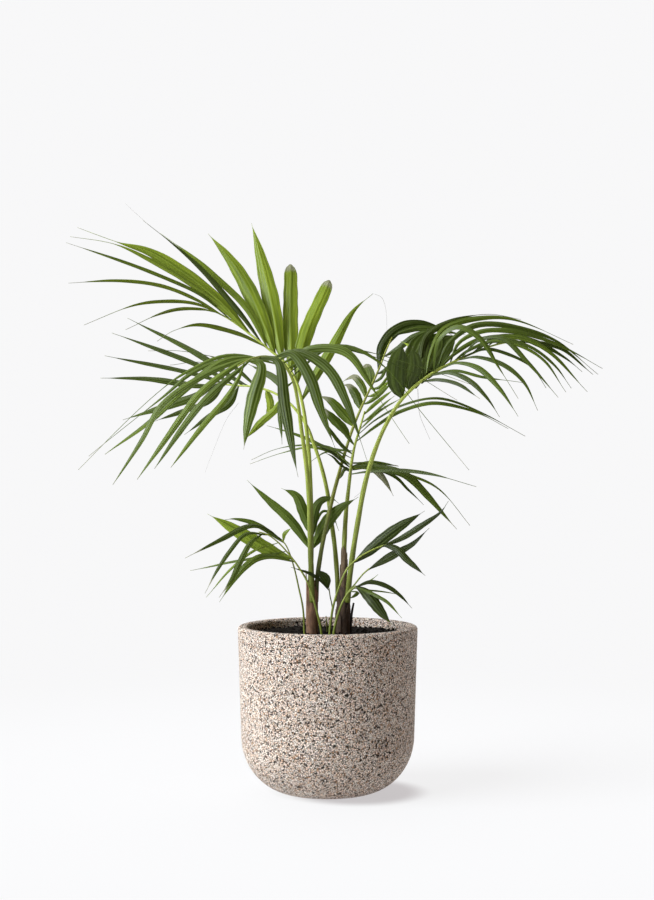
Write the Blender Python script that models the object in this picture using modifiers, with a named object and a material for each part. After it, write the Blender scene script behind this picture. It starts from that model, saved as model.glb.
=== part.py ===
"""Potted palm: three to five young palms grown together in one round-bottomed planter.

Metres, +Z up, the planter stands on Z = 0 and its axis is the Z axis.
Leaf and stem lists are in centimetres, with heights counted from the table when the pot is at
its list height; stand() moves them with the soil, so a taller pot lifts the whole plant.
"""
import math

import bmesh
import bpy
import numpy as np

# ---- planter -------------------------------------------------------------------------------
POT_HEIGHT = 0.277
POT_RIM_RADIUS = 0.150
POT_WAIST_RADIUS = 0.1445
POT_FOOT_RADIUS = 0.058
POT_ROUND_HEIGHT = 0.095
POT_WALL = 0.016
POT_FLOOR = 0.022
POT_INNER_FOOT_RADIUS = 0.046
POT_LIP_ROUNDING = 0.006
DRAIN_HOLE_RADIUS = 0.006
DRAIN_HOLE_COUNT = 3
DRAIN_CIRCLE_RADIUS = 0.030
DRAIN_HOLE_SIDES = 12
POT_STEPS = 41

# ---- potting soil --------------------------------------------------------------------------
SOIL_BELOW_RIM = 0.016
SOIL_CLEARANCE = 0.0003

# ---- plant ---------------------------------------------------------------------------------
LIST_SOIL_LEVEL = 25.5
BORE_CLEARANCE = 0.0003
STALK_SIDES = 7
TRUNK_SIDES = 12
LEAFLET_THICKNESS = 0.0013
LEAFLET_FOLD = 0.16
LEAFLET_WIDTH_SCALE = 1.0
STALK_SCALE = 1.0
TRUNK_SCALE = 1.0
SHEATH_RADIUS = 0.0068
SHEATH_SIDES = 12
MERGE = 0.000004

POT_COLOUR = (0.47, 0.41, 0.37)
SOIL_COLOUR = (0.020, 0.014, 0.010)

# ---- leaf stalks: points (x, y, z), base radius and end radius in millimetres --------------
STALKS = {
    "frond_front": (
        [(-2.6, -0.6, 31), (-2.7, -0.8, 35), (-2.9, -1.2, 40), (-3.0, -1.5, 45), (-3.2, -1.5, 50),
         (-3.7, -1.5, 55), (-4.4, -1.8, 60), (-4.9, -2.5, 64), (-5.7, -4, 67.8), (-7.4, -7, 70.6),
         (-9.6, -11, 71.4), (-11.9, -15, 70.9), (-14, -19, 69.5)], 4.6, 1.2),
    "frond_crown": (
        [(-3.1, 0.5, 31), (-2.9, 0.8, 35), (-2.75, 1.0, 40), (-2.75, 0.9, 45), (-2.9, 0.7, 50),
         (-3.1, 0.8, 55), (-3.6, 1.0, 60), (-4.2, 1.5, 64), (-5.2, 2, 67.6), (-7.1, 3, 71),
         (-9.9, 4, 73.4), (-13.2, 5, 76.1), (-16.9, 6, 78.8), (-20, 6.5, 80.4)], 4.4, 1.2),
    "frond_left": (
        [(1.75, 0.95, 31), (1.6, 1.4, 35), (1.2, 2.4, 40), (0.6, 3.4, 44.5), (-0.1, 3.8, 49.5),
         (-1.2, 4.2, 54), (-2.4, 4.6, 57.5), (-3.6, 5, 60.6), (-6.1, 6, 64), (-9.2, 7.5, 66.2),
         (-12.7, 9, 67.3), (-16.1, 10.5, 67.6), (-19.3, 12, 68)], 4.2, 1.2),
    "frond_middle": (
        [(-1.95, 0.3, 31), (-1.75, -0.1, 35), (-1.0, -0.5, 40), (-0.2, -0.5, 44), (0.7, 0, 48),
         (1.8, 3.0, 52), (2.95, 5.7, 56), (4.3, 7.0, 60.1), (6.0, 8.0, 64.2), (7.75, 8.8, 67.9),
         (9.1, 9.4, 71), (10.1, 10.3, 73.6), (11.2, 11.3, 76)], 4.0, 1.2),
    "frond_young": (
        [(2.55, 0.25, 31), (2.65, 0.4, 36), (2.8, 1.2, 41), (3.1, 2.4, 46), (3.6, 3.2, 50.5),
         (4.0, 3.6, 54), (4.6, 4, 57.2), (5.5, 4.6, 60.2), (6.3, 5, 63)], 4.8, 1.4),
    "frond_right": (
        [(3.3, -0.55, 31), (3.65, -0.9, 35), (4.3, -1.3, 40), (5.1, -1.8, 45), (6, -2.3, 50),
         (7.2, -2.6, 54.5), (8.7, -2.8, 58.6), (10.4, -3, 62), (12.2, -3, 64.7), (14.6, -2.6, 67.1),
         (17.5, -2, 69.2), (21, -1, 71.1), (24.5, 0, 72.7), (28, 1, 74), (31.6, 2, 74.8)], 4.8, 1.2),
    "leaf_low_left": (
        [(-0.8, -3, 22), (-1.0, -3.2, 26), (-2.0, -3.4, 30.5), (-3.3, -3.6, 34.5), (-5.0, -4, 37.4),
         (-6.5, -4.5, 39.4), (-8.1, -5, 41.2), (-9.8, -5.5, 42.5), (-11.3, -6, 43)], 2.0, 1.0),
    "leaf_low_back": (
        [(-2.4, 2.8, 22), (-2.4, 2.8, 28), (-2.5, 2.6, 34), (-2.7, 2.6, 39), (-2.8, 3, 42)], 3.0, 2.4),
    "leaf_side_left": (
        [(-3.9, -1.6, 22), (-3.9, -1.7, 26), (-4.1, -1.9, 30), (-4.8, -2.1, 33.5), (-5.6, -2.3, 37),
         (-6.6, -2.5, 40), (-7.6, -2.7, 41.6)], 1.7, 1.0),
    "leaf_low_right": (
        [(0.3, -3.2, 22), (0.3, -3.2, 26), (0.8, -3.1, 30), (1.7, -3, 33.2), (2.9, -3, 36.2),
         (4.3, -3, 37.9), (6.4, -3, 39.4), (8.9, -3, 40.5), (10.4, -3, 40.8)], 2.2, 1.0),
    "leaf_side_right": (
        [(0.9, -1.8, 22), (0.95, -1.8, 26), (2.0, -2.0, 30), (3.3, -2.2, 32.6), (4.6, -2.4, 34.3),
         (5.8, -2.6, 35.8), (6.9, -2.8, 36.8)], 1.6, 1.2),
    "leaf_rim": (
        [(0.9, -4.2, 22), (0.95, -4.4, 26), (1.9, -4.6, 30), (3.2, -4.8, 32.7), (4.7, -5, 34.1)], 2.2, 1.6),
    "leaf_tiny": (
        [(0.3, 0.2, 22), (0.4, 0.2, 26), (0.8, 0, 29.5), (0.4, -0.4, 32), (0.2, -0.8, 33.4)], 1.3, 0.9),
}

# station on the stalk, width mm, depth of the tip, points (x, z) out to the tip
LEAFLETS = {
    "frond_front": [
        (8.2, 9, -7, [(0, 73.0), (6, 72.0), (12.8, 69.4), (21.1, 64.5)]),
        (8.4, 10, -9, [(-1, 73.0), (4.9, 72.8), (11.7, 71.1), (23.4, 66.9)]),
        (8.6, 15, -12, [(-1.5, 72.7), (3.9, 73.2), (9.7, 69.6), (15.4, 62.3), (22.6, 53.2)]),
        (9.0, 21, -13, [(-2.9, 72.8), (2.9, 72.1), (7, 66.6), (13, 57.4)]),
        (9.3, 24, -15, [(-4.9, 72.5), (0, 69.5), (3.05, 63.6), (6.4, 54.2)]),
        (9.7, 26, -16, [(-5.8, 72), (-2.9, 68), (-0.95, 62.7), (1.7, 55.3)]),
        (10.6, 26, -20, [(-7.9, 70.3), (-6.9, 63.5), (-4.6, 52.2)]),
        (11.3, 26, -21, [(-10.6, 69.6), (-11.7, 64.4), (-13, 56.5)]),
        (8.0, 10, -9, [(-7.6, 65.5), (-7.4, 57.3)]),
        (8.8, 15, -10, [(-15.6, 72), (-22.3, 69.6), (-28.6, 64.9), (-40.2, 53.2)]),
        (9.2, 15, -11, [(-15, 71.5), (-21.8, 69.1), (-27, 64.7), (-38.4, 55.4)]),
        (9.6, 22, -14, [(-16.4, 71), (-22.6, 66.6), (-28.7, 60.8), (-35.4, 55.7)]),
        (10.0, 20, -16, [(-14.4, 70.7), (-20, 68.2), (-26.2, 63.6), (-29.4, 57.9), (-33.9, 50.9)]),
        (10.5, 22, -19, [(-13.8, 70.3), (-19.4, 66.2), (-23.1, 61.7), (-29.7, 51.8)]),
        (11.1, 22, -21, [(-13.5, 69.5), (-17.8, 65.6), (-21.4, 61.4), (-26.8, 53.5)]),
        (11.6, 20, -23, [(-13.8, 68.2), (-15.8, 64.6), (-19, 60.4), (-24.1, 53.7)]),
    ],
    "frond_crown": [
        (7.2, 22, 9, [(-2.2, 68.6), (0.5, 73.6), (4.1, 79.9), (7.85, 83.4)]),
        (8.0, 26, 12, [(-4.4, 73.3), (-2.3, 79.7), (0.3, 86)]),
        (8.6, 25, 14, [(-6.3, 75.4), (-6.3, 81.9), (-6.5, 89)]),
        (9.2, 27, 14, [(-8.4, 75.4), (-10.1, 83.9), (-13.4, 96.2)]),
        (9.7, 27, 11, [(-10.7, 77.4), (-14.2, 84.8), (-17.1, 89.5), (-20.8, 94)]),
        (10.1, 18, 9, [(-13.7, 80.4), (-17.9, 84.9), (-22.6, 89.3), (-28.9, 93.8)]),
        (10.4, 18, 6, [(-14.7, 79.6), (-19.9, 85.5), (-24.5, 89.8), (-31.5, 95.6)]),
        (11.0, 20, 3, [(-18.1, 81.6), (-24.2, 86.3), (-30.2, 89.8), (-35.4, 91.4), (-42.3, 94)]),
        (11.4, 20, 1, [(-18, 81), (-24.1, 85.4), (-30, 88.5), (-36, 91), (-43.2, 92.2)]),
        (11.8, 12, -3, [(-21.2, 82.4), (-27, 85.2), (-33.9, 87.9), (-43.3, 90.7)]),
        (12.1, 10, -8, [(-22.2, 81.9), (-27.8, 83.8), (-34.4, 84.2), (-42.1, 83.5)]),
        (12.4, 10, -12, [(-22, 81.1), (-26.6, 81.3), (-32, 80.2), (-39, 76.4)]),
        (12.7, 10, -14, [(-21.2, 80.3), (-24.5, 79.8), (-28, 78.2), (-32.1, 75.5)]),
        (11.2, 12, -12, [(-16, 76.7), (-20.2, 76.6), (-23.3, 75.4), (-26.2, 72.9)]),
    ],
    "frond_left": [
        (10.5, 16, 17, [(-20.3, 71.6), (-27.3, 75.7), (-35.5, 79.8)]),
        (11.0, 18, 15, [(-21.9, 70.9), (-29.3, 74), (-38, 77)]),
        (11.4, 16, 13, [(-21.8, 69.3), (-30.2, 71.2), (-39, 72.9)]),
        (11.8, 18, 11, [(-22.9, 67.7), (-31.2, 68.7), (-39.5, 68.9)]),
        (12.0, 20, 10, [(-21.8, 66.2), (-28.1, 64.3), (-35.5, 61.6)]),
        (11.6, 18, 7, [(-18.1, 65.9), (-23.1, 63.8), (-29.7, 61.3)]),
        (10.8, 16, 4, [(-14.9, 65.2), (-18.9, 62.6), (-24.3, 59)]),
        (9.8, 16, 14, [(-17.6, 71.8), (-25, 73.7), (-31.5, 73.8)]),
        (10.2, 14, 16, [(-21.4, 71.5), (-27.9, 71.4)]),
        (8.6, 13, -1, [(-9, 63.2), (-11.2, 61), (-13.8, 58.1)]),
        (9.4, 14, 10, [(-9.9, 64.7), (-10.3, 62.1)]),
        (8.2, 18, 14, [(-8.5, 68.5), (-14, 71.5)]),
    ],
    "frond_middle": [
        (7.4, 20, 10, [(2.1, 63.6), (0, 65.3), (-1.7, 65.7)]),
        (7.0, 20, 8, [(1.5, 61.3), (-1, 63.2), (-3.6, 64.6)]),
        (8.0, 18, 11, [(4.9, 66.2), (3.8, 67.7), (2.6, 67.6)]),
        (8.5, 16, 13, [(5.9, 68), (4.4, 69.2), (2.4, 68.4)]),
        (8.9, 17, 14, [(7.3, 69.8), (6.7, 71.7)]),
        (9.8, 22, 16, [(9.6, 74.4), (11.9, 77.3), (15.2, 78.6), (18.9, 78.2), (22.5, 76.4)]),
        (8.7, 14, 7, [(9.2, 67.5), (10.9, 68.6), (12.6, 69.7)]),
        (8.2, 20, 6, [(8.7, 66), (11, 67.6), (13.5, 69)]),
        (7.8, 18, 5, [(8, 64.5), (11, 66.8), (14, 68.6)]),
        (9.5, 16, 8, [(10.5, 70.5), (14, 73)]),
        (10.6, 20, 9, [(12, 74), (15.5, 76.2), (20, 77)]),
        (12.0, 18, 12, [(13, 77), (17, 77.5), (24, 76.5)]),
    ],
    "frond_young": [
        (5.0, 12, 9, [(1, 55.9), (-3, 56.9), (-8.2, 55.7), (-13.4, 54)]),
        (5.3, 12, 10, [(0, 57), (-5.2, 57.1), (-9.4, 56.3), (-13.2, 54.7)]),
        (5.7, 12, 9, [(0, 56.9), (-4.1, 58.6), (-10.5, 60.6)]),
        (4.9, 11, 6, [(1.5, 55.9), (-0.5, 55.9), (-2.9, 54.4)]),
        (5.5, 14, 3, [(2.7, 57), (1, 59.2), (-0.8, 61.6)]),
        (6.0, 16, 3, [(3.3, 58.9), (1.8, 60.9), (-0.5, 63.6)]),
        (4.6, 9, 6, [(2.8, 53.1), (1.9, 51.3)]),
        (4.5, 13, -6, [(6.5, 52.8), (12, 53.1), (17.7, 52.4), (24.3, 50.4)]),
        (5.0, 10, 8, [(5, 54.2), (8, 54.1), (12.2, 53.6)]),
        (4.8, 15, 3, [(7, 53.7), (9.3, 52), (11.1, 48.6)]),
        (4.7, 12, 6, [(7.5, 53.4), (11.6, 51.9), (13.7, 49.8), (16.4, 47)]),
        (4.9, 22, -1, [(8, 53.6), (13, 52.2), (16.8, 48.6), (21.5, 43.2)]),
        (5.1, 13, 4, [(8, 54.1), (14.1, 52.2), (19, 49.6), (24.1, 43.6)]),
        (6.2, 13, -1, [(8.6, 61.8), (13.6, 64.4), (19.1, 65), (26, 62.5), (32.9, 58.7)]),
        (6.0, 15, 3, [(7.9, 59.9), (12.6, 63.3), (18.1, 64.5), (24.7, 63), (30.5, 60)]),
        (6.6, 13, 4, [(7.8, 62.5), (11, 65.2), (15, 67)]),
        (7.4, 13, 4, [(8.1, 64), (12, 66.8)]),
        (8.0, 14, 6, [(7.5, 65.5), (9, 69.5)]),
    ],
    "frond_right": [
        (8.1, 32, 3, [(11.2, 68.5), (11.4, 72.5), (13, 74.6), (15.2, 74)]),
        (8.6, 20, 5, [(13.6, 70), (13.8, 73.5), (12.3, 75.7)]),
        (9.1, 28, 14, [(15.5, 71), (16.7, 75.8), (21.6, 78.8), (28, 80), (33.9, 79.3)]),
        (9.6, 24, 12, [(17.3, 73), (19.7, 77), (25.6, 78.9), (32.5, 78.7), (42.8, 74.8)]),
        (10.2, 24, 8, [(20, 74), (24.4, 77.2), (30.5, 77.3), (38.8, 75), (46.5, 69.4)]),
        (10.8, 22, 4, [(22, 74.5), (26.6, 76.6), (33.2, 76.1), (40, 73.6), (46.6, 70.2)]),
        (12.0, 24, 2, [(28, 75.3), (33, 75), (38.1, 72.1), (43.7, 66.2)]),
        (13.0, 22, 5, [(31, 75.6), (35.8, 74.6), (40, 72.3), (43.3, 69.7)]),
        (12.5, 16, -3, [(29, 75), (34, 73.4), (37.8, 70.4), (40.3, 66.6)]),
        (11.8, 10, -5, [(27, 74.6), (31.8, 73.6), (36, 70.8), (39.1, 65.9)]),
        (11.3, 20, -9, [(25, 74.8), (29, 74.9), (32.5, 70.9), (37.3, 64.9)]),
        (10.0, 22, -10, [(18, 74.3), (21.2, 76.7), (25, 74.6), (28, 69.6), (30.7, 64.7)]),
        (11.2, 18, -8, [(24.8, 72), (29, 70.6), (32.2, 67.5), (34.1, 62.8)]),
        (10.4, 20, -10, [(21.5, 71), (25, 69.9), (28.2, 66.3), (30.7, 61.8)]),
        (9.8, 17, -11, [(20.2, 69.3), (23.3, 67.8), (25.7, 64.9), (27.6, 61.7)]),
        (9.3, 14, -9, [(18.3, 68.0), (21.6, 67.1), (24.6, 64.7)]),
        (9.9, 10, -6, [(21.2, 69.5), (25.7, 68.5), (32, 67.4)]),
        (10.3, 24, 2, [(21, 72.5), (25, 74.8), (30.5, 75.4), (36, 73.5)]),
        (10.9, 18, 0, [(23.5, 73), (28, 74.6), (33, 73.6), (37, 70.5)]),
        (11.4, 11, -4, [(26, 73.3), (29.8, 72.4), (33.6, 70.2), (36, 66.6)]),
        (14.0, 18, 4, [(35, 74.6), (40, 73.2), (45, 69.2)]),
    ],
    "leaf_low_left": [
        (4.6, 24, -2, [(-9.5, 40), (-14, 42.4), (-20, 45.8)]),
        (7.0, 13, -10, [(-13.3, 42.7), (-16, 39.9), (-18.2, 36.6), (-19.8, 33.3)]),
        (7.5, 18, -12, [(-12.7, 41.3), (-14.3, 38.4), (-15.7, 35.4), (-17.4, 32.8)]),
        (5.2, 10, -1, [(-12.5, 38.4), (-17, 37.7), (-22.9, 36.3)]),
        (4.3, 16, -8, [(-8.9, 39.1), (-11.7, 38.6), (-14.4, 36.2), (-17.6, 31.7)]),
        (6.0, 9, -6, [(-12, 40), (-16.2, 36.4), (-19.9, 32.3)]),
    ],
    "leaf_low_back": [
        (3.1, 20, 6, [(-6, 44.2), (-9.9, 47.8), (-13.8, 51.3)]),
        (4.0, 20, 5, [(-4.2, 46), (-5.4, 48.7), (-7.9, 49.9)]),
        (3.8, 16, 1.2, [(-2.2, 45.5), (-1.2, 47.6), (0.6, 48.2), (1.9, 47.4)]),
        (3.2, 19, -2, [(-1, 43), (1.5, 46), (3.5, 48), (5.4, 49)]),
        (3.8, 8, 6, [(-1, 45.8), (0.9, 45.2), (1.9, 42.6)]),
    ],
    "leaf_side_left": [
        (6.0, 18, -9, [(-10.3, 43.6), (-13.2, 44.0), (-17.5, 41.9), (-23.1, 38.9)]),
        (5.8, 10, -3, [(-7.3, 42.6), (-6, 43.5)]),
        (5.6, 13, -2, [(-11.8, 44.2), (-15, 45), (-17.2, 44.8)]),
    ],
    "leaf_low_right": [
        (5.0, 25, -2, [(7.5, 41), (11.3, 43.8), (15.9, 45.9)]),
        (7.2, 14, -4, [(11.9, 41.8), (15.3, 44), (18.5, 46.1), (19.9, 48)]),
        (7.0, 15, -7, [(9.7, 40.7), (11.4, 40.1), (13.1, 38.2), (15.9, 35.9)]),
    ],
    "leaf_side_right": [
        (6.0, 19, -3, [(9, 38.1), (11.7, 39.6), (14.3, 41), (16.8, 43.5)]),
        (5.6, 10, -1.5, [(10, 39.1), (13.3, 40.6), (15.6, 42.2)]),
    ],
    "leaf_rim": [
        (4.0, 23, -8, [(6.2, 33), (8.2, 30.7), (10.5, 28)]),
        (3.85, 13, -6, [(6.9, 34.7), (9.8, 33.9), (12.1, 32.4), (13.8, 30.5)]),
        (3.9, 9, -9, [(7.8, 32.6), (10, 31.5), (12, 29.2)]),
        (3.3, 12, -6.5, [(5, 33.1), (3.4, 32.1)]),
        (3.7, 5, -3, [(8, 33.2), (12.0, 32.4)]),
        (3.55, 5, -4, [(6.4, 34.7), (8.3, 35.9)]),
    ],
    "leaf_tiny": [
        (4.0, 15, -2.4, [(-0.3, 35.1), (-1.8, 36.7)]),
        (3.6, 9, -2.8, [(-1.2, 34.9), (-3.3, 36.2), (-6.1, 37)]),
    ],
}

# Where the upper face of each leaf's leaflets looks.
FACES = {
    "frond_front": (-0.1, -0.9, 0.42),
    "frond_crown": (0.0, -1.0, 0.1),
    "frond_left": (0.0, -0.75, 0.65),
    "frond_middle": (0.0, -1.0, 0.2),
    "frond_young": (0.0, -0.8, 0.6),
    "frond_right": (0.1, -0.85, 0.5),
    "leaf_low_left": (-0.1, -0.9, 0.4),
    "leaf_low_back": (0.0, -1.0, 0.1),
    "leaf_side_left": (-0.1, -0.85, 0.5),
    "leaf_low_right": (0.1, -0.9, 0.4),
    "leaf_side_right": (0.1, -0.8, 0.6),
    "leaf_rim": (0.1, -0.9, 0.4),
    "leaf_tiny": (0.0, -1.0, 0.2),
}
LEAF_COLOURS = {
    "frond_front": (0.045, 0.085, 0.020),
    "frond_crown": (0.140, 0.260, 0.040),
    "frond_left": (0.120, 0.170, 0.050),
    "frond_middle": (0.060, 0.110, 0.030),
    "frond_young": (0.060, 0.120, 0.030),
    "frond_right": (0.045, 0.090, 0.025),
    "leaf_low_left": (0.100, 0.200, 0.030),
    "leaf_low_back": (0.060, 0.140, 0.040),
    "leaf_side_left": (0.070, 0.130, 0.040),
    "leaf_low_right": (0.050, 0.100, 0.030),
    "leaf_side_right": (0.060, 0.110, 0.030),
    "leaf_rim": (0.050, 0.110, 0.035),
    "leaf_tiny": (0.070, 0.120, 0.035),
}
# Share of a leaflet's length and share of its width, from the stalk to just short of the tip.
OUTLINE = ((0.0, 0.24), (0.14, 0.62), (0.38, 1.0), (0.64, 0.88), (0.87, 0.45))

# ---- trunks and stubs: points (x, y, z, radius in millimetres) -----------------------------
TRUNKS = {
    "trunk_left": [
        (-2.60, 0.05, 22, 10.0), (-2.60, 0.05, 26, 9.8), (-2.62, 0.05, 30, 9.4), (-2.65, 0.05, 34, 8.8)],
    "trunk_right": [
        (2.50, 0.20, 22, 11.5), (2.50, 0.20, 26, 11.0), (2.52, 0.20, 30, 9.6), (2.58, 0.20, 32.8, 9.2)],
    "stub_dry": [(3.75, 1.6, 22, 2.6), (3.75, 1.6, 26, 2.4), (3.95, 1.7, 28.5, 2.0), (4.35, 1.8, 30.7, 1.3)],
    "stub_green": [(-0.1, 1.6, 22, 1.7), (-0.1, 1.6, 26, 1.6), (-0.2, 1.6, 27.3, 1.3), (-0.3, 1.6, 28.5, 0.9)],
}
TRUNK_COLOURS = {
    "trunk_left": (0.170, 0.085, 0.050),
    "trunk_right": (0.045, 0.025, 0.015),
    "stub_dry": (0.030, 0.018, 0.012),
    "stub_green": (0.110, 0.150, 0.040),
}
BORED_BY = {
    "trunk_left": ("frond_front", "frond_crown", "frond_middle"),
    "trunk_right": ("frond_left", "frond_young", "frond_right"),
}
SHEATH_SPAN = (33.2, 40.0)


# ---- helpers -------------------------------------------------------------------------------
def soil_level():
    return POT_HEIGHT - SOIL_BELOW_RIM


def stand(point):
    """List centimetres to metres, standing on the soil."""
    x, y, z = point
    return np.array((x * 0.01, y * 0.01, (z - LIST_SOIL_LEVEL) * 0.01 + soil_level()))


def unit(vector):
    return vector / np.linalg.norm(vector)


def material(name, colour, roughness=0.6, metallic=0.0):
    made = bpy.data.materials.new(name)
    made.use_nodes = True
    shader = made.node_tree.nodes["Principled BSDF"]
    shader.inputs["Base Color"].default_value = (*colour, 1.0)
    shader.inputs["Roughness"].default_value = roughness
    shader.inputs["Metallic"].default_value = metallic
    made.diffuse_color = (*colour, 1.0)
    return made


def collection(name):
    made = bpy.data.collections.new(name)
    bpy.context.scene.collection.children.link(made)
    return made


def mesh_object(name, points, faces, into):
    mesh = bpy.data.meshes.new(name)
    mesh.from_pydata([tuple(p) for p in points], [], faces)
    mesh.validate()
    made = bpy.data.objects.new(name, mesh)
    into.objects.link(made)
    return made


def dress(obj, colour, roughness, smooth=True):
    obj.data.materials.clear()
    obj.data.materials.append(material(obj.name, colour, roughness))
    for face in obj.data.polygons:
        face.use_smooth = smooth


def make_cutter(obj):
    obj.hide_render = True
    obj.display_type = "WIRE"


def boolean(obj, other, operation):
    modifier = obj.modifiers.new(operation.lower() + "_" + other.name, "BOOLEAN")
    modifier.operation = operation
    modifier.solver = "EXACT"
    modifier.object = other


def join_all(obj, group):
    """Join every solid of the group to this one in one step."""
    modifier = obj.modifiers.new("join_" + group.name, "BOOLEAN")
    modifier.operation = "UNION"
    modifier.solver = "EXACT"
    modifier.use_self = True
    modifier.operand_type = "COLLECTION"
    modifier.collection = group


def bake(obj, helpers):
    """Fix the modifiers into the mesh, and remove the helper solids."""
    graph = bpy.context.evaluated_depsgraph_get()
    mesh = bpy.data.meshes.new_from_object(obj.evaluated_get(graph))
    obj.modifiers.clear()
    obj.data = mesh
    for helper in helpers:
        bpy.data.objects.remove(helper)
    work = bmesh.new()
    work.from_mesh(mesh)
    bmesh.ops.remove_doubles(work, verts=work.verts, dist=MERGE)
    bmesh.ops.dissolve_degenerate(work, edges=work.edges, dist=MERGE)
    keep_largest(work)
    work.to_mesh(mesh)
    work.free()


def keep_largest(work):
    """Leave only the biggest shell, so that pockets where leaflets cross are filled."""
    left = set(work.faces)
    shells = []
    while left:
        shell = {left.pop()}
        edge_of = list(shell)
        while edge_of:
            face = edge_of.pop()
            for edge in face.edges:
                if len(edge.link_faces) != 2:
                    continue
                for other in edge.link_faces:
                    if other in left:
                        left.discard(other)
                        shell.add(other)
                        edge_of.append(other)
        shells.append(shell)
    shells.sort(key=len)
    for shell in shells[:-1]:
        bmesh.ops.delete(work, geom=list(shell), context="FACES")


# ---- tubes ---------------------------------------------------------------------------------
def carried_side(tangents, first):
    """A direction square to each tangent, turned as little as possible along the line."""
    sides = [unit(first - tangents[0] * np.dot(first, tangents[0]))]
    for tangent in tangents[1:]:
        side = sides[-1] - tangent * np.dot(sides[-1], tangent)
        sides.append(unit(side))
    return sides


def tangents_of(line):
    steps = np.diff(line, axis=0)
    steps = steps / np.linalg.norm(steps, axis=1)[:, None]
    middle = [unit(a + b) for a, b in zip(steps[:-1], steps[1:])]
    return [steps[0]] + middle + [steps[-1]]


def tube_shell(line, radii, sides):
    """Points and faces of a closed round bar along the line."""
    line = np.array(line)
    tangents = tangents_of(line)
    across = carried_side(tangents, np.array((1.0, 0.0, 0.0)))
    points = []
    for place, tangent, side, radius in zip(line, tangents, across, radii):
        other = np.cross(tangent, side)
        for k in range(sides):
            angle = 2 * math.pi * k / sides
            points.append(place + radius * (side * math.cos(angle) + other * math.sin(angle)))
    faces = [tuple(range(sides))[::-1]]
    for ring in range(len(line) - 1):
        for k in range(sides):
            a = ring * sides + k
            b = ring * sides + (k + 1) % sides
            faces.append((a, b, b + sides, a + sides))
    last = (len(line) - 1) * sides
    faces.append(tuple(range(last, last + sides)))
    return points, faces


def stalk_line(name):
    points, base, end = STALKS[name]
    line = [stand(p) for p in points]
    radii = [STALK_SCALE * 0.001 * r for r in np.linspace(base, end, len(points))]
    return line, radii


def trunk_line(name):
    rows = TRUNKS[name]
    return [stand(row[:3]) for row in rows], [TRUNK_SCALE * 0.001 * row[3] for row in rows]


def bore(name, line, radii, sides, into):
    """The same bar, larger all round and longer below, by the clearance."""
    line = list(line)
    line[0] = line[0] - unit(line[1] - line[0]) * BORE_CLEARANCE
    grown = [radius + BORE_CLEARANCE / math.cos(math.pi / sides) for radius in radii]
    points, faces = tube_shell(line, grown, sides)
    cutter = mesh_object("bore_" + name, points, faces, into)
    make_cutter(cutter)
    return cutter


# ---- leaflets ------------------------------------------------------------------------------
def along(line, station):
    start = min(int(station), len(line) - 2)
    return line[start] + (line[start + 1] - line[start]) * (station - start)


def smooth_line(points, shares):
    """Catmull-Rom curve through the points, read at the given shares of its length."""
    points = np.array(points)
    padded = np.vstack([2 * points[0] - points[1], points, 2 * points[-1] - points[-2]])
    dense = []
    for i in range(len(points) - 1):
        p0, p1, p2, p3 = padded[i:i + 4]
        for t in np.linspace(0.0, 1.0, 8, endpoint=False):
            dense.append(0.5 * (2 * p1 + (p2 - p0) * t + (2 * p0 - 5 * p1 + 4 * p2 - p3) * t * t
                                + (3 * p1 - p0 - 3 * p2 + p3) * t ** 3))
    dense.append(points[-1])
    dense = np.array(dense)
    run = np.concatenate([[0.0], np.cumsum(np.linalg.norm(np.diff(dense, axis=0), axis=1))])
    return np.stack([np.interp(np.array(shares) * run[-1], run, dense[:, k]) for k in range(3)], axis=1)


def leaflet_points(line, row):
    """Root on the stalk, then the listed points, with the depth shared out by distance."""
    station, _, tip_depth, flat = row[:4]
    root = along(line, station)
    places = [stand((x, 0.0, z)) for x, z in flat]
    spans = np.array([(root[0], root[2])] + [(p[0], p[2]) for p in places])
    run = np.concatenate([[0.0], np.cumsum(np.linalg.norm(np.diff(spans, axis=0), axis=1))])
    depth = root[1] + (tip_depth * 0.01 - root[1]) * run / run[-1]
    return [np.array((x, y, z)) for (x, z), y in zip(spans, depth)]


def leaflet_shell(line, row, face):
    """Points and faces of one folded, tapering leaflet."""
    shares = [share for share, _ in OUTLINE] + [1.0]
    centre = smooth_line(leaflet_points(line, row), shares)
    tangents = tangents_of(centre)
    middle = len(centre) // 2
    face = np.array(face)
    if len(row) > 4:
        face = np.array(row[4])
    first = unit(np.cross(tangents[middle], face))
    back = carried_side(tangents[middle::-1], first)[::-1]
    sides = back + carried_side(tangents[middle:], first)[1:]
    half = LEAFLET_WIDTH_SCALE * row[1] * 0.0005
    points = []
    for place, tangent, side, (_, share) in zip(centre, tangents, sides, OUTLINE):
        up = np.cross(side, tangent)
        width = half * share
        ridge = place + up * LEAFLET_FOLD * width
        points += [place + side * width, ridge + up * LEAFLET_THICKNESS * 0.5]
        points += [place - side * width, ridge - up * LEAFLET_THICKNESS * 0.5]
    points.append(centre[-1])
    faces = [(0, 1, 2, 3)]
    rings = len(OUTLINE)
    for ring in range(rings - 1):
        for k in range(4):
            a = ring * 4 + k
            b = ring * 4 + (k + 1) % 4
            faces.append((b, a, a + 4, b + 4))
    last = (rings - 1) * 4
    for k in range(4):
        faces.append((last + (k + 1) % 4, last + k, rings * 4))
    return points, faces


def outward(obj):
    work = bmesh.new()
    work.from_mesh(obj.data)
    bmesh.ops.recalc_face_normals(work, faces=work.faces)
    if work.calc_volume(signed=True) < 0:
        bmesh.ops.reverse_faces(work, faces=work.faces)
    work.to_mesh(obj.data)
    work.free()


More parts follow.
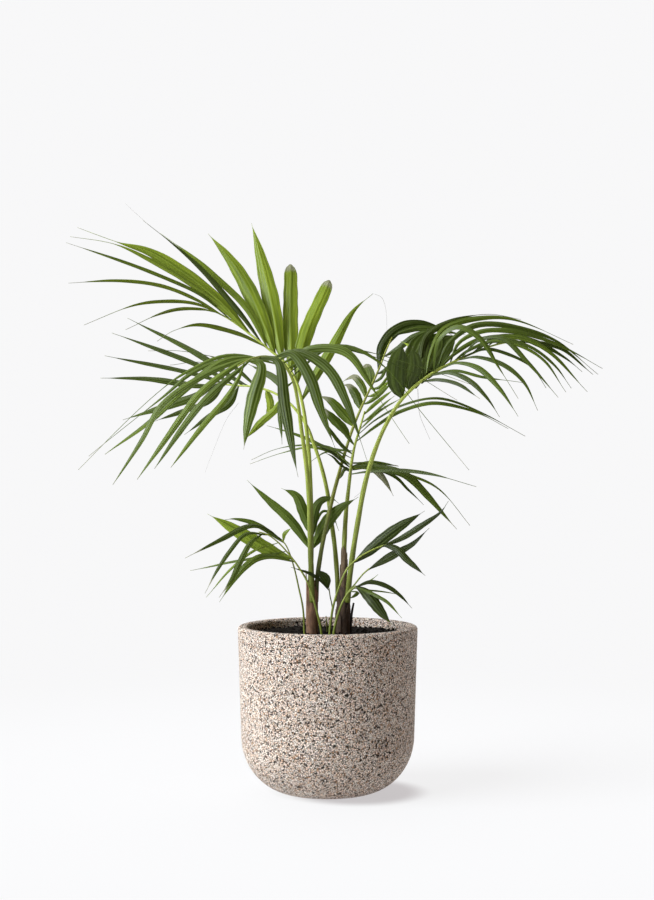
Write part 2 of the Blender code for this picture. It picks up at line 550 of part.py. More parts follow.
def make_frond(name, into, cutters):
    """Stalk and leaflets of one leaf, joined as it grows: one piece."""
    line, radii = stalk_line(name)
    points, faces = tube_shell(line, radii, STALK_SIDES)
    frond = mesh_object(name, points, faces, into)
    outward(frond)
    group = bpy.data.collections.new(name + "_leaflets")
    cutters.children.link(group)
    helpers = []
    for index, row in enumerate(LEAFLETS[name]):
        points, faces = leaflet_shell(line, row, FACES[name])
        helper = mesh_object(f"{name}_leaflet_{index}", points, faces, group)
        outward(helper)
        make_cutter(helper)
        helpers.append(helper)
    join_all(frond, group)
    bpy.context.view_layer.update()
    bake(frond, helpers)
    bpy.data.collections.remove(group)
    dress(frond, LEAF_COLOURS[name], 0.5)
    return frond


# ---- planter and soil ----------------------------------------------------------------------
def quarter(inner, outer, low, high, count):
    """Quarter ellipse from the flat bottom out to the upright side."""
    angles = [0.5 * math.pi * k / count for k in range(count + 1)]
    return [(inner + (outer - inner) * math.sin(a), low + (high - low) * (1 - math.cos(a))) for a in angles]


def inner_wall(clearance):
    """The inside of the pot from its floor up, moved in by the clearance."""
    waist = POT_WAIST_RADIUS - POT_WALL - clearance
    return quarter(POT_INNER_FOOT_RADIUS, waist, POT_FLOOR + clearance, POT_ROUND_HEIGHT, 4)


def inner_radius(height):
    """Inside radius of the straight wall at this height."""
    low = POT_WAIST_RADIUS - POT_WALL
    high = POT_RIM_RADIUS - POT_WALL
    top = POT_HEIGHT - POT_LIP_ROUNDING
    return low + (high - low) * (height - POT_ROUND_HEIGHT) / (top - POT_ROUND_HEIGHT)


def lathe(name, profile, loop, steps, into):
    """Turn the profile, listed top to bottom on its outer side, about the Z axis."""
    mesh = bpy.data.meshes.new(name)
    count = len(profile)
    edges = [(i, i + 1) for i in range(count - 1)]
    if loop:
        edges.append((count - 1, 0))
    mesh.from_pydata([(r, 0.0, z) for r, z in profile], edges, [])
    made = bpy.data.objects.new(name, mesh)
    into.objects.link(made)
    screw = made.modifiers.new("lathe", "SCREW")
    screw.axis = "Z"
    screw.angle = 2 * math.pi
    screw.steps = steps
    screw.render_steps = steps
    screw.use_merge_vertices = True
    screw.merge_threshold = 0.00001
    return made


def make_pot(into, cutters):
    top = POT_HEIGHT - POT_LIP_ROUNDING
    half = POT_WALL / 2
    middle = POT_RIM_RADIUS - half
    lip = []
    for k in range(6):
        angle = math.pi * k / 5
        lip.append((middle - half * math.cos(angle), top + POT_LIP_ROUNDING * math.sin(angle)))
    outer = quarter(POT_FOOT_RADIUS, POT_WAIST_RADIUS, 0.0, POT_ROUND_HEIGHT, 5)[::-1]
    profile = inner_wall(0.0) + lip + outer
    pot = lathe("pot", profile, False, POT_STEPS, into)
    bpy.context.view_layer.update()
    close_ends(pot)
    for index in range(DRAIN_HOLE_COUNT):
        boolean(pot, drain_cutter(index, cutters), "DIFFERENCE")
    dress(pot, POT_COLOUR, 0.75)
    return pot


def close_ends(pot):
    """Fix the lathe into the mesh, and close the flat foot and the flat floor with one face each."""
    graph = bpy.context.evaluated_depsgraph_get()
    mesh = bpy.data.meshes.new_from_object(pot.evaluated_get(graph))
    pot.modifiers.clear()
    pot.data = mesh
    work = bmesh.new()
    work.from_mesh(mesh)
    bmesh.ops.remove_doubles(work, verts=work.verts, dist=MERGE)
    open_edges = [edge for edge in work.edges if len(edge.link_faces) == 1]
    bmesh.ops.holes_fill(work, edges=open_edges, sides=POT_STEPS)
    bmesh.ops.recalc_face_normals(work, faces=work.faces)
    if work.calc_volume(signed=True) < 0:
        bmesh.ops.reverse_faces(work, faces=work.faces)
    work.to_mesh(mesh)
    work.free()


def drain_cutter(index, cutters):
    """Round bar through the floor of the pot."""
    angle = 2 * math.pi * (index + 0.25) / DRAIN_HOLE_COUNT
    x = DRAIN_CIRCLE_RADIUS * math.cos(angle)
    y = DRAIN_CIRCLE_RADIUS * math.sin(angle)
    line = [np.array((x, y, -POT_FLOOR)), np.array((x, y, 2 * POT_FLOOR))]
    points, faces = tube_shell(line, [DRAIN_HOLE_RADIUS] * 2, DRAIN_HOLE_SIDES)
    cutter = mesh_object(f"drain_{index}", points, faces, cutters)
    outward(cutter)
    make_cutter(cutter)
    return cutter


def make_soil(into, bores):
    level = soil_level()
    side = inner_wall(SOIL_CLEARANCE)[::-1]
    edge = inner_radius(level) - SOIL_CLEARANCE
    floor = POT_FLOOR + SOIL_CLEARANCE
    profile = [(0.0, level), (edge, level)] + side + [(0.0, floor)]
    soil = lathe("soil", profile, False, POT_STEPS, into)
    for cutter in bores:
        boolean(soil, cutter, "DIFFERENCE")
    dress(soil, SOIL_COLOUR, 0.9, smooth=False)
    return soil


# ---- trunks and sheath ---------------------------------------------------------------------
def make_trunk(name, into, bores):
    line, radii = trunk_line(name)
    sides = TRUNK_SIDES if name in BORED_BY else STALK_SIDES
    points, faces = tube_shell(line, radii, sides)
    trunk = mesh_object(name, points, faces, into)
    outward(trunk)
    for cutter in bores:
        boolean(trunk, cutter, "DIFFERENCE")
    dress(trunk, TRUNK_COLOURS[name], 0.8)
    return trunk


def make_sheath(into, cutter):
    """Dry leaf base wrapped round the youngest stalk, standing on its trunk."""
    line, _ = stalk_line("frond_young")
    heights = [p[2] for p in line]
    low = TRUNKS["trunk_right"][-1][2] * 0.01
    start = stand((0.0, 0.0, low * 100))[2] + BORE_CLEARANCE
    stop = stand((0.0, 0.0, SHEATH_SPAN[1]))[2]
    centre = []
    for height in (start, (start + stop) / 2, stop):
        centre.append(np.array([np.interp(height, heights, [p[k] for p in line]) for k in range(3)]))
    radii = [SHEATH_RADIUS * 1.12, SHEATH_RADIUS, SHEATH_RADIUS * 0.9]
    points, faces = tube_shell(centre, radii, SHEATH_SIDES)
    for index in range(SHEATH_SIDES):
        points[index][2] = start
    sheath = mesh_object("sheath_young", points, faces, into)
    outward(sheath)
    boolean(sheath, cutter, "DIFFERENCE")
    dress(sheath, (0.110, 0.060, 0.030), 0.85)
    return sheath


def main():
    for obj in list(bpy.data.objects):
        bpy.data.objects.remove(obj)
    palm = collection("potted_palm")
    cutters = collection("potted_palm_cutters")
    stalk_bores = {}
    for name in STALKS:
        line, radii = stalk_line(name)
        stalk_bores[name] = bore(name, line, radii, STALK_SIDES, cutters)
        outward(stalk_bores[name])
    trunk_bores = []
    for name in TRUNKS:
        line, radii = trunk_line(name)
        sides = TRUNK_SIDES if name in BORED_BY else STALK_SIDES
        cutter = bore(name, line, radii, sides, cutters)
        outward(cutter)
        trunk_bores.append(cutter)
    make_pot(palm, cutters)
    planted = [stalk_bores[name] for name in STALKS if name.startswith("leaf_")]
    make_soil(palm, trunk_bores + planted)
    for name in TRUNKS:
        make_trunk(name, palm, [stalk_bores[leaf] for leaf in BORED_BY.get(name, ())])
    make_sheath(palm, stalk_bores["frond_young"])
    for name in STALKS:
        make_frond(name, palm, cutters)


main()
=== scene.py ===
"""Looks of a potted palm: young feather-leaved palms in a round-bottomed stone-aggregate planter.

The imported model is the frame. Every shown piece stands for one of its nodes, repeats that node's
sizes, and adds what the plain solids leave out: folded and pleated leaflets, leaf threads,
fibrous stems, crumbly soil and a washed pebble surface.
"""
from __future__ import annotations

import logging
import math
from dataclasses import dataclass, field
from enum import Enum, IntEnum
from typing import Any, Callable, Sequence

import bmesh
import bpy
import numpy as np
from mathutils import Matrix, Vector, noise

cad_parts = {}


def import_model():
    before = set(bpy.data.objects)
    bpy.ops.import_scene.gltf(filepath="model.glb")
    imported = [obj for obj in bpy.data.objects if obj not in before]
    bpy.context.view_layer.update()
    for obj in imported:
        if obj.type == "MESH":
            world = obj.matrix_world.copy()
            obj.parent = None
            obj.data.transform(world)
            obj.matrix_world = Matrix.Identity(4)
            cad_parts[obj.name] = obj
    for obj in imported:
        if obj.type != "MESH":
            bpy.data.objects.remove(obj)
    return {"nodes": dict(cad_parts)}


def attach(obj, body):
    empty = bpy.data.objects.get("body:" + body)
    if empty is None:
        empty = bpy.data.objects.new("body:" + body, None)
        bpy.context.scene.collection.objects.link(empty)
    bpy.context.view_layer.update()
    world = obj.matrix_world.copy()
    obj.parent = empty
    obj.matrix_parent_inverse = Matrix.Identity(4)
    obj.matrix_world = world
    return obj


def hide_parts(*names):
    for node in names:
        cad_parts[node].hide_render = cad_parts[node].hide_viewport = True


LOG = logging.getLogger("potted_palm")
Colour = tuple[float, float, float]
Triple = tuple[float, float, float]
Stops = Sequence[tuple[float, Colour]]
StemRow = tuple[float, float, float, float]

CENTIMETRE = 0.01
MILLIMETRE = 0.001
FULL_TURN = 2 * math.pi
LIST_SOIL_LEVEL = 25.5  # height of the soil in the lists of points, in centimetres
SOIL_LEVEL = 0.261  # the same height in metres


# ---- nodes -----------------------------------------------------------------------------------
class Wire:
    """Output socket of a node that takes part in sums."""

    def __init__(self, web: "Web", socket: bpy.types.NodeSocket) -> None:
        """Wrap a socket of a web."""
        self.web = web
        self.socket = socket

    def __add__(self, other: Any) -> "Wire":
        """Sum."""
        return self.web.maths("ADD", self, other)

    def __sub__(self, other: Any) -> "Wire":
        """Difference."""
        return self.web.maths("SUBTRACT", self, other)

    def __rsub__(self, other: Any) -> "Wire":
        """Difference, with this wire taken away."""
        return self.web.maths("SUBTRACT", other, self)

    def __mul__(self, other: Any) -> "Wire":
        """Product."""
        return self.web.maths("MULTIPLY", self, other)

    def __abs__(self) -> "Wire":
        """Size without its sign."""
        return self.web.maths("ABSOLUTE", self, 0.0)

    def wave(self) -> "Wire":
        """Sine of the value in radians, moved into the range 0 to 1."""
        return self.web.maths("SINE", self, 0.0) * 0.5 + 0.5

    def between(self, low: float, high: float, bottom: float = 0.0, top: float = 1.0) -> "Wire":
        """Smooth step from bottom, where the value is low, to top, where it is high."""
        return self.web.add("ShaderNodeMapRange", {"interpolation_type": "SMOOTHSTEP"},
                            {"Value": self, "From Min": low, "From Max": high,
                             "To Min": bottom, "To Max": top}, "Result")


class Web:
    """Nodes of one tree, with one way to add any of them."""

    def __init__(self, tree: bpy.types.NodeTree) -> None:
        """Wrap a node tree."""
        self.tree = tree

    def add(self, kind: str, settings: dict[str, Any], sockets: dict[Any, Any],
            output: int | str = 0) -> Wire:
        """Add a node: its settings first, then the values or wires of its sockets.

        Args:
            kind: Node type.
            settings: Attributes of the node; "stops" holds a colour ramp's (place, colour) pairs
                and "ramp_mode" its interpolation.
            sockets: Values or wires by input name or index.
            output: Output that is read, by name or index.

        Returns:
            The output.
        """
        node = self.tree.nodes.new(kind)
        for key, value in settings.items():
            if key == "stops":
                self._set_stops(node.color_ramp, value)
            elif key == "ramp_mode":
                node.color_ramp.interpolation = value
            else:
                setattr(node, key, value)
        for key, value in sockets.items():
            self.feed(node.inputs[key], value)
        return Wire(self, node.outputs[output])

    @staticmethod
    def _set_stops(ramp: bpy.types.ColorRamp, stops: Stops) -> None:
        """Write a ramp's stops.

        Args:
            ramp: The ramp.
            stops: Pairs of place and colour.
        """
        while len(ramp.elements) < len(stops):
            ramp.elements.new(0.5)
        for element, (place, colour) in zip(ramp.elements, stops):
            element.position = place
            element.color = (*colour, 1.0)

    def feed(self, socket: bpy.types.NodeSocket, value: Any) -> None:
        """Set a socket to a value, or link a wire to it.

        Args:
            socket: The input.
            value: A wire, a number or a tuple.
        """
        if isinstance(value, Wire):
            self.tree.links.new(value.socket, socket)
        elif isinstance(value, tuple) and len(value) == 3 and socket.type == "RGBA":
            socket.default_value = (*value, 1.0)
        else:
            socket.default_value = value

    def maths(self, operation: str, first: Any, second: Any) -> Wire:
        """One Math node."""
        return self.add("ShaderNodeMath", {"operation": operation}, {0: first, 1: second})

    def vector(self, operation: str, first: Any, second: Any = None,
               output: int | str = 0) -> Wire:
        """One Vector Math node.

        Args:
            operation: What it does.
            first: First vector.
            second: Second vector, or the factor of SCALE; None where there is only one.
            output: Output that is read.

        Returns:
            The output.
        """
        sockets = {0: first}
        if second is not None:
            sockets["Scale" if operation == "SCALE" else 1] = second
        return self.add("ShaderNodeVectorMath", {"operation": operation}, sockets, output)

    def blend(self, factor: Any, first: Any, second: Any, mode: str = "MIX") -> Wire:
        """Mix of two colours; the factor is the share of the second."""
        settings = {"data_type": "RGBA", "blend_type": mode, "clamp_factor": True}
        return self.add("ShaderNodeMix", settings, {0: factor, 6: first, 7: second}, 2)

    def ramp(self, value: Wire, stops: Stops, steps: bool = False) -> Wire:
        """Colour at a place on a ramp, smooth or in flat bands."""
        mode = "CONSTANT" if steps else "LINEAR"
        return self.add("ShaderNodeValToRGB", {"ramp_mode": mode, "stops": stops}, {0: value})

    def place(self) -> Wire:
        """Object coordinates in metres."""
        return self.add("ShaderNodeTexCoord", {}, {}, "Object")

    def mark(self, name: str) -> Wire:
        """Number stored on the mesh under this name."""
        return self.add("ShaderNodeAttribute", {"attribute_name": name}, {}, "Fac")

    def strip(self) -> tuple[Wire, Wire]:
        """Read the mesh's strip map.

        Returns:
            Share across the strip, and metres along it.
        """
        chart = self.add("ShaderNodeUVMap", {"uv_map": "strip"}, {})
        across = self.add("ShaderNodeSeparateXYZ", {}, {0: chart})
        return across, Wire(self, across.socket.node.outputs[1])

    def cloud(self, where: Wire, scale: float, detail: float = 3.0, rough: float = 0.55) -> Wire:
        """Noise about 0.5, by features per unit, octaves and share of the finer ones."""
        sockets = {"Vector": where, "Scale": scale, "Detail": detail, "Roughness": rough}
        return self.add("ShaderNodeTexNoise", {}, sockets, "Fac")

    def grain(self, strip: tuple[Wire, Wire], across: float, along: float, lot: Any,
              scale: float, detail: float = 3.0, rough: float = 0.55) -> Wire:
        """Noise drawn out along a strip, by its density each way; lot picks the pattern."""
        sockets = {0: strip[0] * across, 1: strip[1] * along, 2: lot}
        return self.cloud(self.add("ShaderNodeCombineXYZ", {}, sockets), scale, detail, rough)

    def cells(self, where: Wire, scale: float, feature: str, output: str) -> Wire:
        """One output of Voronoi cells, by cells per unit and feature."""
        sockets = {"Vector": where, "Scale": scale, "Randomness": 1.0}
        return self.add("ShaderNodeTexVoronoi", {"feature": feature}, sockets, output)

    def lot(self, where: Wire, scale: float) -> Wire:
        """One random number for each Voronoi cell."""
        return self.add("ShaderNodeSeparateColor", {},
                        {0: self.cells(where, scale, "F1", "Color")})


class SkinWeb(Web):
    """Nodes of one material round its Principled shader."""

    def __init__(self, name: str) -> None:
        """Start a material.

        Args:
            name: Name of the material.
        """
        self.material = bpy.data.materials.new(name)
        self.material.use_nodes = True
        super().__init__(self.material.node_tree)
        self.shader = self.tree.nodes["Principled BSDF"]

    def finish(self, colour: Any, roughness: Any, height: Wire | None = None,
               relief: float = 0.001, strength: float = 1.0,
               **others: Any) -> bpy.types.Material:
        """Feed the Principled shader.

        Args:
            colour: Base colour.
            roughness: Roughness.
            height: Relief, 0 to 1.
            relief: Metres that the relief stands for.
            strength: Strength of the relief.
            others: Other sockets by name, with underscores for spaces.

        Returns:
            The material.
        """
        others.update(Base_Color=colour, Roughness=roughness)
        if height is not None:
            others["Normal"] = self.add(
                "ShaderNodeBump", {}, {"Height": height, "Distance": relief, "Strength": strength})
        for key, value in others.items():
            self.feed(self.shader.inputs[key.replace("_", " ")], value)
        return self.material

    def glow_through(self, share: float, colour: Colour) -> None:
        """Let light from behind show through a thin blade.

        Args:
            share: Share of the light that comes through.
            colour: Its colour.
        """
        through = self.add("ShaderNodeBsdfTranslucent", {}, {"Color": colour})
        front = Wire(self, self.shader.outputs[0])
        mixed = self.add("ShaderNodeMixShader", {}, {0: share, 1: front, 2: through})
        self.feed(self.tree.nodes["Material Output"].inputs["Surface"], mixed)


# ---- finishes --------------------------------------------------------------------------------
@dataclass(frozen=True)
class BladeFinish:
    """Ribbed leaf skin, one side of a leaflet, from its darkest to its freshest green."""

    name: str
    shades: Stops
    rib_and_sheen: Colour
    dry: Colour
    through: Colour
    share: float
    gloss: float
    painted_valley_shade: Colour = (0.24, 0.30, 0.20)
    rib_count: float = 4.0
    rib_phase: float = 1.57
    thread_count: float = 15.0

    def make(self) -> bpy.types.Material:
        """Build the material.

        Returns:
            Leaf material with parallel ribs, mottling, tone per leaflet and dry ends, with painted
            sheen on the rib crests and painted shade in the valleys between them.
        """
        web = SkinWeb(self.name)
        strip = web.strip()
        tone, dry, wide = (web.mark(name) for name in Sheaf.MARKS)
        ribs = (strip[0] * (FULL_TURN * self.rib_count) + self.rib_phase).wave()
        threads = (strip[0] * (FULL_TURN * self.thread_count)).wave()
        mottle = web.grain(strip, 2.2, 16.0, tone * 37.0, scale=3.0, detail=4.0)
        streaks = web.grain(strip, 4.5, 5.0, tone * 19.0, scale=2.0)
        skin = web.ramp(tone + (mottle - 0.5) * 0.22 + (streaks - 0.5) * 0.85, self.shades)
        # partly painted sheen: the rib crests are blended towards a paler grey-green, partly the
        # ribs' own colour and partly a painted highlight along the ridges
        crest_sheen = ribs.between(0.55, 1.0) * wide
        skin = web.blend(crest_sheen * (0.62 - tone * 0.42) + threads * wide * 0.05, skin, self.rib_and_sheen)
        # painted shade: the colour is darkened in the valleys between the ribs, where shade falls
        painted_valley_shade = ribs.between(0.45, 0.0) * wide
        skin = web.blend(painted_valley_shade * 0.45, skin, self.painted_valley_shade, "MULTIPLY")
        rim = abs(strip[0] - 0.5).between(0.46, 0.5) * wide
        skin = web.blend(rim * 0.30, skin, self.dry)
        speckle = web.cloud(web.place(), scale=900.0, detail=2.0).between(0.62, 0.8)
        brown = (dry + (mottle - 0.5) * 0.5).between(0.45, 0.75)
        skin = web.blend(speckle * 0.04 + brown * 0.85, skin, self.dry)
        rough = mottle * 0.16 + brown * 0.3 + self.gloss
        height = ribs * wide * 0.8 + streaks * wide * 0.25
        made = web.finish(skin, rough, height, relief=0.0004, strength=0.6,
                          Specular_IOR_Level=0.22)
        web.glow_through(self.share, self.through)
        return made


@dataclass(frozen=True)
class StalkFinish:
    """Smooth leaf stalk, paler along its length, with a few brown scars."""

    name: str
    low: Colour
    high: Colour
    scar: Colour

    def make(self) -> bpy.types.Material:
        """Build the material.

        Returns:
            Stalk material, streaked lengthwise.
        """
        web = SkinWeb(self.name)
        strip = web.strip()
        streaks = web.grain(strip, 4.0, 9.0, 0.0, scale=2.0)
        blotch = web.grain(strip, 1.5, 22.0, 3.0, scale=2.0)
        ripe = (strip[1] * 2.1 + (blotch - 0.5) * 0.8).between(0.05, 0.75)
        skin = web.blend(ripe, self.low, self.high)
        skin = web.blend(streaks.between(0.35, 0.75) * 0.35, skin, self.scar, "MULTIPLY")
        scars = web.grain(strip, 4.0, 60.0, 9.0, scale=4.0, detail=2.0).between(0.66, 0.76)
        skin = web.blend(scars * 0.55, skin, self.scar)
        return web.finish(skin, streaks * 0.25 + 0.38, streaks, relief=0.0005, strength=0.4,
                          Specular_IOR_Level=0.32)


@dataclass(frozen=True)
class FibreFinish:
    """Dry brown leaf bases, fibrous and split lengthwise."""

    name: str
    dark: Colour
    light: Colour
    weathered: Colour = (0.30, 0.24, 0.19)

    def make(self) -> bpy.types.Material:
        """Build the material.

        Returns:
            Fibre material.
        """
        web = SkinWeb(self.name)
        strip = web.strip()
        fibres = web.grain(strip, 30.0, 18.0, 0.0, scale=2.0, detail=5.0, rough=0.7)
        patches = web.grain(strip, 4.0, 30.0, 5.0, scale=2.0)
        pale = (fibres * 0.7 + patches * 0.5).between(0.35, 0.85)
        bark = web.blend(pale, self.dark, self.light)
        grey = web.cloud(web.place(), scale=260.0).between(0.55, 0.8)
        bark = web.blend(grey * 0.3, bark, self.weathered)
        return web.finish(bark, fibres * 0.2 + 0.70, fibres, relief=0.0012, strength=0.8)


@dataclass(frozen=True)
class PebbleFinish:
    """Washed aggregate: cream, tan, orange, grey and near black chips over a sunken bed, whose
    near-black colour is partly the cement's own and partly painted shade between the chips.
    """

    name: str
    bed_and_painted_shade: Colour
    chips: Stops
    big: float
    small: float
    push: Triple = (0.0034, -0.0030, 0.0036)
    tall: Triple = (1.0, 1.0, 0.62)
    wide: Triple = (0.66, 0.66, 1.0)
    dust: Colour = (0.62, 0.55, 0.48)
    stain: Colour = (0.78, 0.66, 0.58)

    def _layer(self, web: Web, where: Wire, scale: float) -> tuple[Wire, Wire]:
        """Colour of one size of chips, and how far inside a chip each point lies."""
        edge = web.cells(where, scale, "DISTANCE_TO_EDGE", "Distance")
        return web.ramp(web.lot(where, scale), self.chips, steps=True), edge

    def make(self) -> bpy.types.Material:
        """Build the material.

        Returns:
            Aggregate material.
        """
        web = SkinWeb(self.name)
        where = web.place()
        warp = web.vector("SCALE", self.push, web.cloud(where, scale=190.0, detail=2.0))
        base = web.vector("ADD", where, warp)
        tall_stone, tall_edge = self._layer(web, web.vector("MULTIPLY", base, self.tall), self.big)
        wide_stone, wide_edge = self._layer(web, web.vector("MULTIPLY", base, self.wide), self.big)
        turn = web.lot(where, 120.0).between(0.49, 0.51)
        stone = web.blend(turn, tall_stone, wide_stone)
        edge = tall_edge * (1.0 - turn) + wide_edge * turn
        grit, fine_edge = self._layer(web, base, self.small)
        grain = web.cloud(where, scale=1500.0, detail=2.0).between(0.35, 0.7)
        stone = web.blend(grain * 0.25, stone, self.dust, "MULTIPLY")
        # partly painted shade: the bed's near-black colour stands partly for the cement and partly
        # for the shade in the gaps between the chips
        bed_and_painted_shade = web.blend(fine_edge.between(0.05, 0.20) * 0.10, self.bed_and_painted_shade, grit)
        chip = edge.between(0.078, 0.122)
        face = web.blend(chip, bed_and_painted_shade, stone)
        patch = web.cloud(where, scale=26.0).between(0.3, 0.75)
        face = web.blend(patch * 0.25, face, self.stain, "MULTIPLY")
        height = chip * 0.8 + fine_edge.between(0.0, 0.2) * 0.2
        return web.finish(face, 0.74 - chip * 0.18, height, relief=0.0010, strength=0.7,
                          Specular_IOR_Level=0.22)


@dataclass(frozen=True)
class SoilFinish:
    """Dark damp potting soil."""

    name: str
    dark: Colour
    light: Colour

    def make(self) -> bpy.types.Material:
        """Build the material.

        Returns:
            Soil material.
        """
        web = SkinWeb(self.name)
        where = web.place()
        crumbs = web.cloud(where, scale=420.0, detail=5.0, rough=0.7)
        lumps = web.cells(where, 260.0, "F1", "Distance")
        earth = web.blend((crumbs + lumps * 0.4).between(0.45, 0.95), self.dark, self.light)
        return web.finish(earth, 1.0, crumbs + lumps, relief=0.0015, strength=0.9,
                          Specular_IOR_Level=0.1)


@dataclass(frozen=True)
class FloorFinish:
    """Seamless pale studio floor that brightens away from the object, with a painted contact shadow
    beside the planter.
    """

    name: str
    near: float
    far: float
    white: Colour = (0.9857, 0.984, 0.991)
    skin: Colour = (0.095, 0.095, 0.096)
    painted_contact_shadow: Colour = (0.68, 0.655, 0.66)
    painted_shadow_offset: Triple = (0.050, -0.005, 0.0)
    painted_shadow_rim: float = 0.128
    painted_shadow_core: float = 0.080

    def make(self) -> bpy.types.Material:
        """Build the material.

        Returns:
            Floor material.
        """
        web = SkinWeb(self.name)
        where = web.place()
        far = web.vector("LENGTH", where, output="Value").between(0.45, 1.6)
        near_glow, far_glow = (tuple(level * part for part in self.white)
                               for level in (self.near, self.far))
        glow = web.blend(far, near_glow, far_glow)
        # painted contact shadow: a darker ring of emission on the floor, just right of the
        # planter's foot
        shift = web.vector("SUBTRACT", where, self.painted_shadow_offset)
        reach = web.vector("LENGTH", shift, output="Value")
        shade = reach.between(self.painted_shadow_rim, self.painted_shadow_core)
        glow = web.blend(shade, glow, self.painted_contact_shadow, "MULTIPLY")
        base = web.blend(far, self.skin, (0.0, 0.0, 0.0))
        return web.finish(base, 0.95, Specular_IOR_Level=0.0, Emission_Color=glow,
                          Emission_Strength=1.0)


# ---- lines and meshes ------------------------------------------------------------------------
def show(name: str, data: bpy.types.ID) -> bpy.types.Object:
    """Put a mesh, light or camera into the scene.

    Args:
        name: Name of the object.
        data: What it shows.

    Returns:
        The new object.
    """
    made = bpy.data.objects.new(name, data)
    bpy.context.scene.collection.objects.link(made)
    return made


def soften(mesh: bpy.types.Mesh) -> None:
    """Shade every face smooth."""
    mesh.polygons.foreach_set("use_smooth", np.ones(len(mesh.polygons), bool))


def settle(piece: bpy.types.Object, node: str) -> bpy.types.Object:
    """Let a piece stand for a node of the frame and ride with it.

    Args:
        piece: The shown piece.
        node: Node that it replaces.

    Returns:
        The same piece.
    """
    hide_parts(node)
    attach(piece, "root")
    LOG.info("%s: %d faces for %s", piece.name, len(piece.data.polygons), node)
    return piece


def stand(points: Sequence[Triple]) -> np.ndarray:
    """Turn list centimetres into metres, standing on the soil.

    Args:
        points: Rows of x, y and height.

    Returns:
        Array of points in metres.
    """
    rows = np.array(points, float)
    rows[:, 2] -= LIST_SOIL_LEVEL
    rows *= CENTIMETRE
    rows[:, 2] += SOIL_LEVEL
    return rows


def unit(vector: np.ndarray) -> np.ndarray:
    """Vector of length one."""
    return vector / max(float(np.linalg.norm(vector)), 1e-12)


def run_of(line: np.ndarray) -> np.ndarray:
    """Distance along a line at each of its points."""
    return np.concatenate([[0.0], np.cumsum(np.linalg.norm(np.diff(line, axis=0), axis=1))])


def round_of(count: int) -> np.ndarray:
    """Angles of evenly spread points round a circle."""
    return np.linspace(0.0, FULL_TURN, count, endpoint=False)


def padded(points: np.ndarray) -> np.ndarray:
    """Points with one more at each end, in line with the last two."""
    return np.vstack([2 * points[0] - points[1], points, 2 * points[-1] - points[-2]])


def bend(corners: np.ndarray, t: Any) -> np.ndarray:
    """Place at a share t, or at a column of them, between the middle two of four points."""
    a, b, c, d = corners
    return 0.5 * (2 * b + (c - a) * t + (2 * a - 5 * b + 4 * c - d) * t ** 2
                  + (3 * b - a - 3 * c + d) * t ** 3)


def glide(points: np.ndarray, shares: np.ndarray) -> np.ndarray:
    """Smooth curve through points, read at shares of its length.

    Args:
        points: Points the curve passes through.
        shares: Places along it, 0 to 1.

    Returns:
        One point for each share.
    """
    corners = padded(points)
    steps = np.linspace(0.0, 1.0, 10, endpoint=False)[:, None]
    dense = [bend(corners[i:i + 4], steps) for i in range(len(points) - 1)]
    line = np.vstack([*dense, points[-1:]])
    run = run_of(line)
    return np.stack([np.interp(shares * run[-1], run, line[:, k]) for k in range(3)], axis=1)


def station_point(points: np.ndarray, station: float) -> np.ndarray:
    """Point of the smooth curve at a station: a point's index and a share of the next span."""
    span = min(int(station), len(points) - 2)
    return bend(padded(points)[span:span + 4], station - span)


def frames(line: np.ndarray, first: np.ndarray, start: int) -> tuple[np.ndarray, np.ndarray]:
    """Directions across a line, turned as little as possible.

    Args:
        line: Points.
        first: Rough sideways direction at the start point.
        start: Index that the sideways direction is carried from.

    Returns:
        Side and up directions.
    """
    forward = np.gradient(line, axis=0)
    forward /= np.linalg.norm(forward, axis=1)[:, None]
    side = np.zeros_like(line)
    side[start] = unit(first - forward[start] * np.dot(first, forward[start]))
    for way, order in ((1, range(start + 1, len(line))), (-1, range(start - 1, -1, -1))):
        for i in order:
            before = side[i - way]
            side[i] = unit(before - forward[i] * np.dot(before, forward[i]))
    return side, np.cross(side, forward)


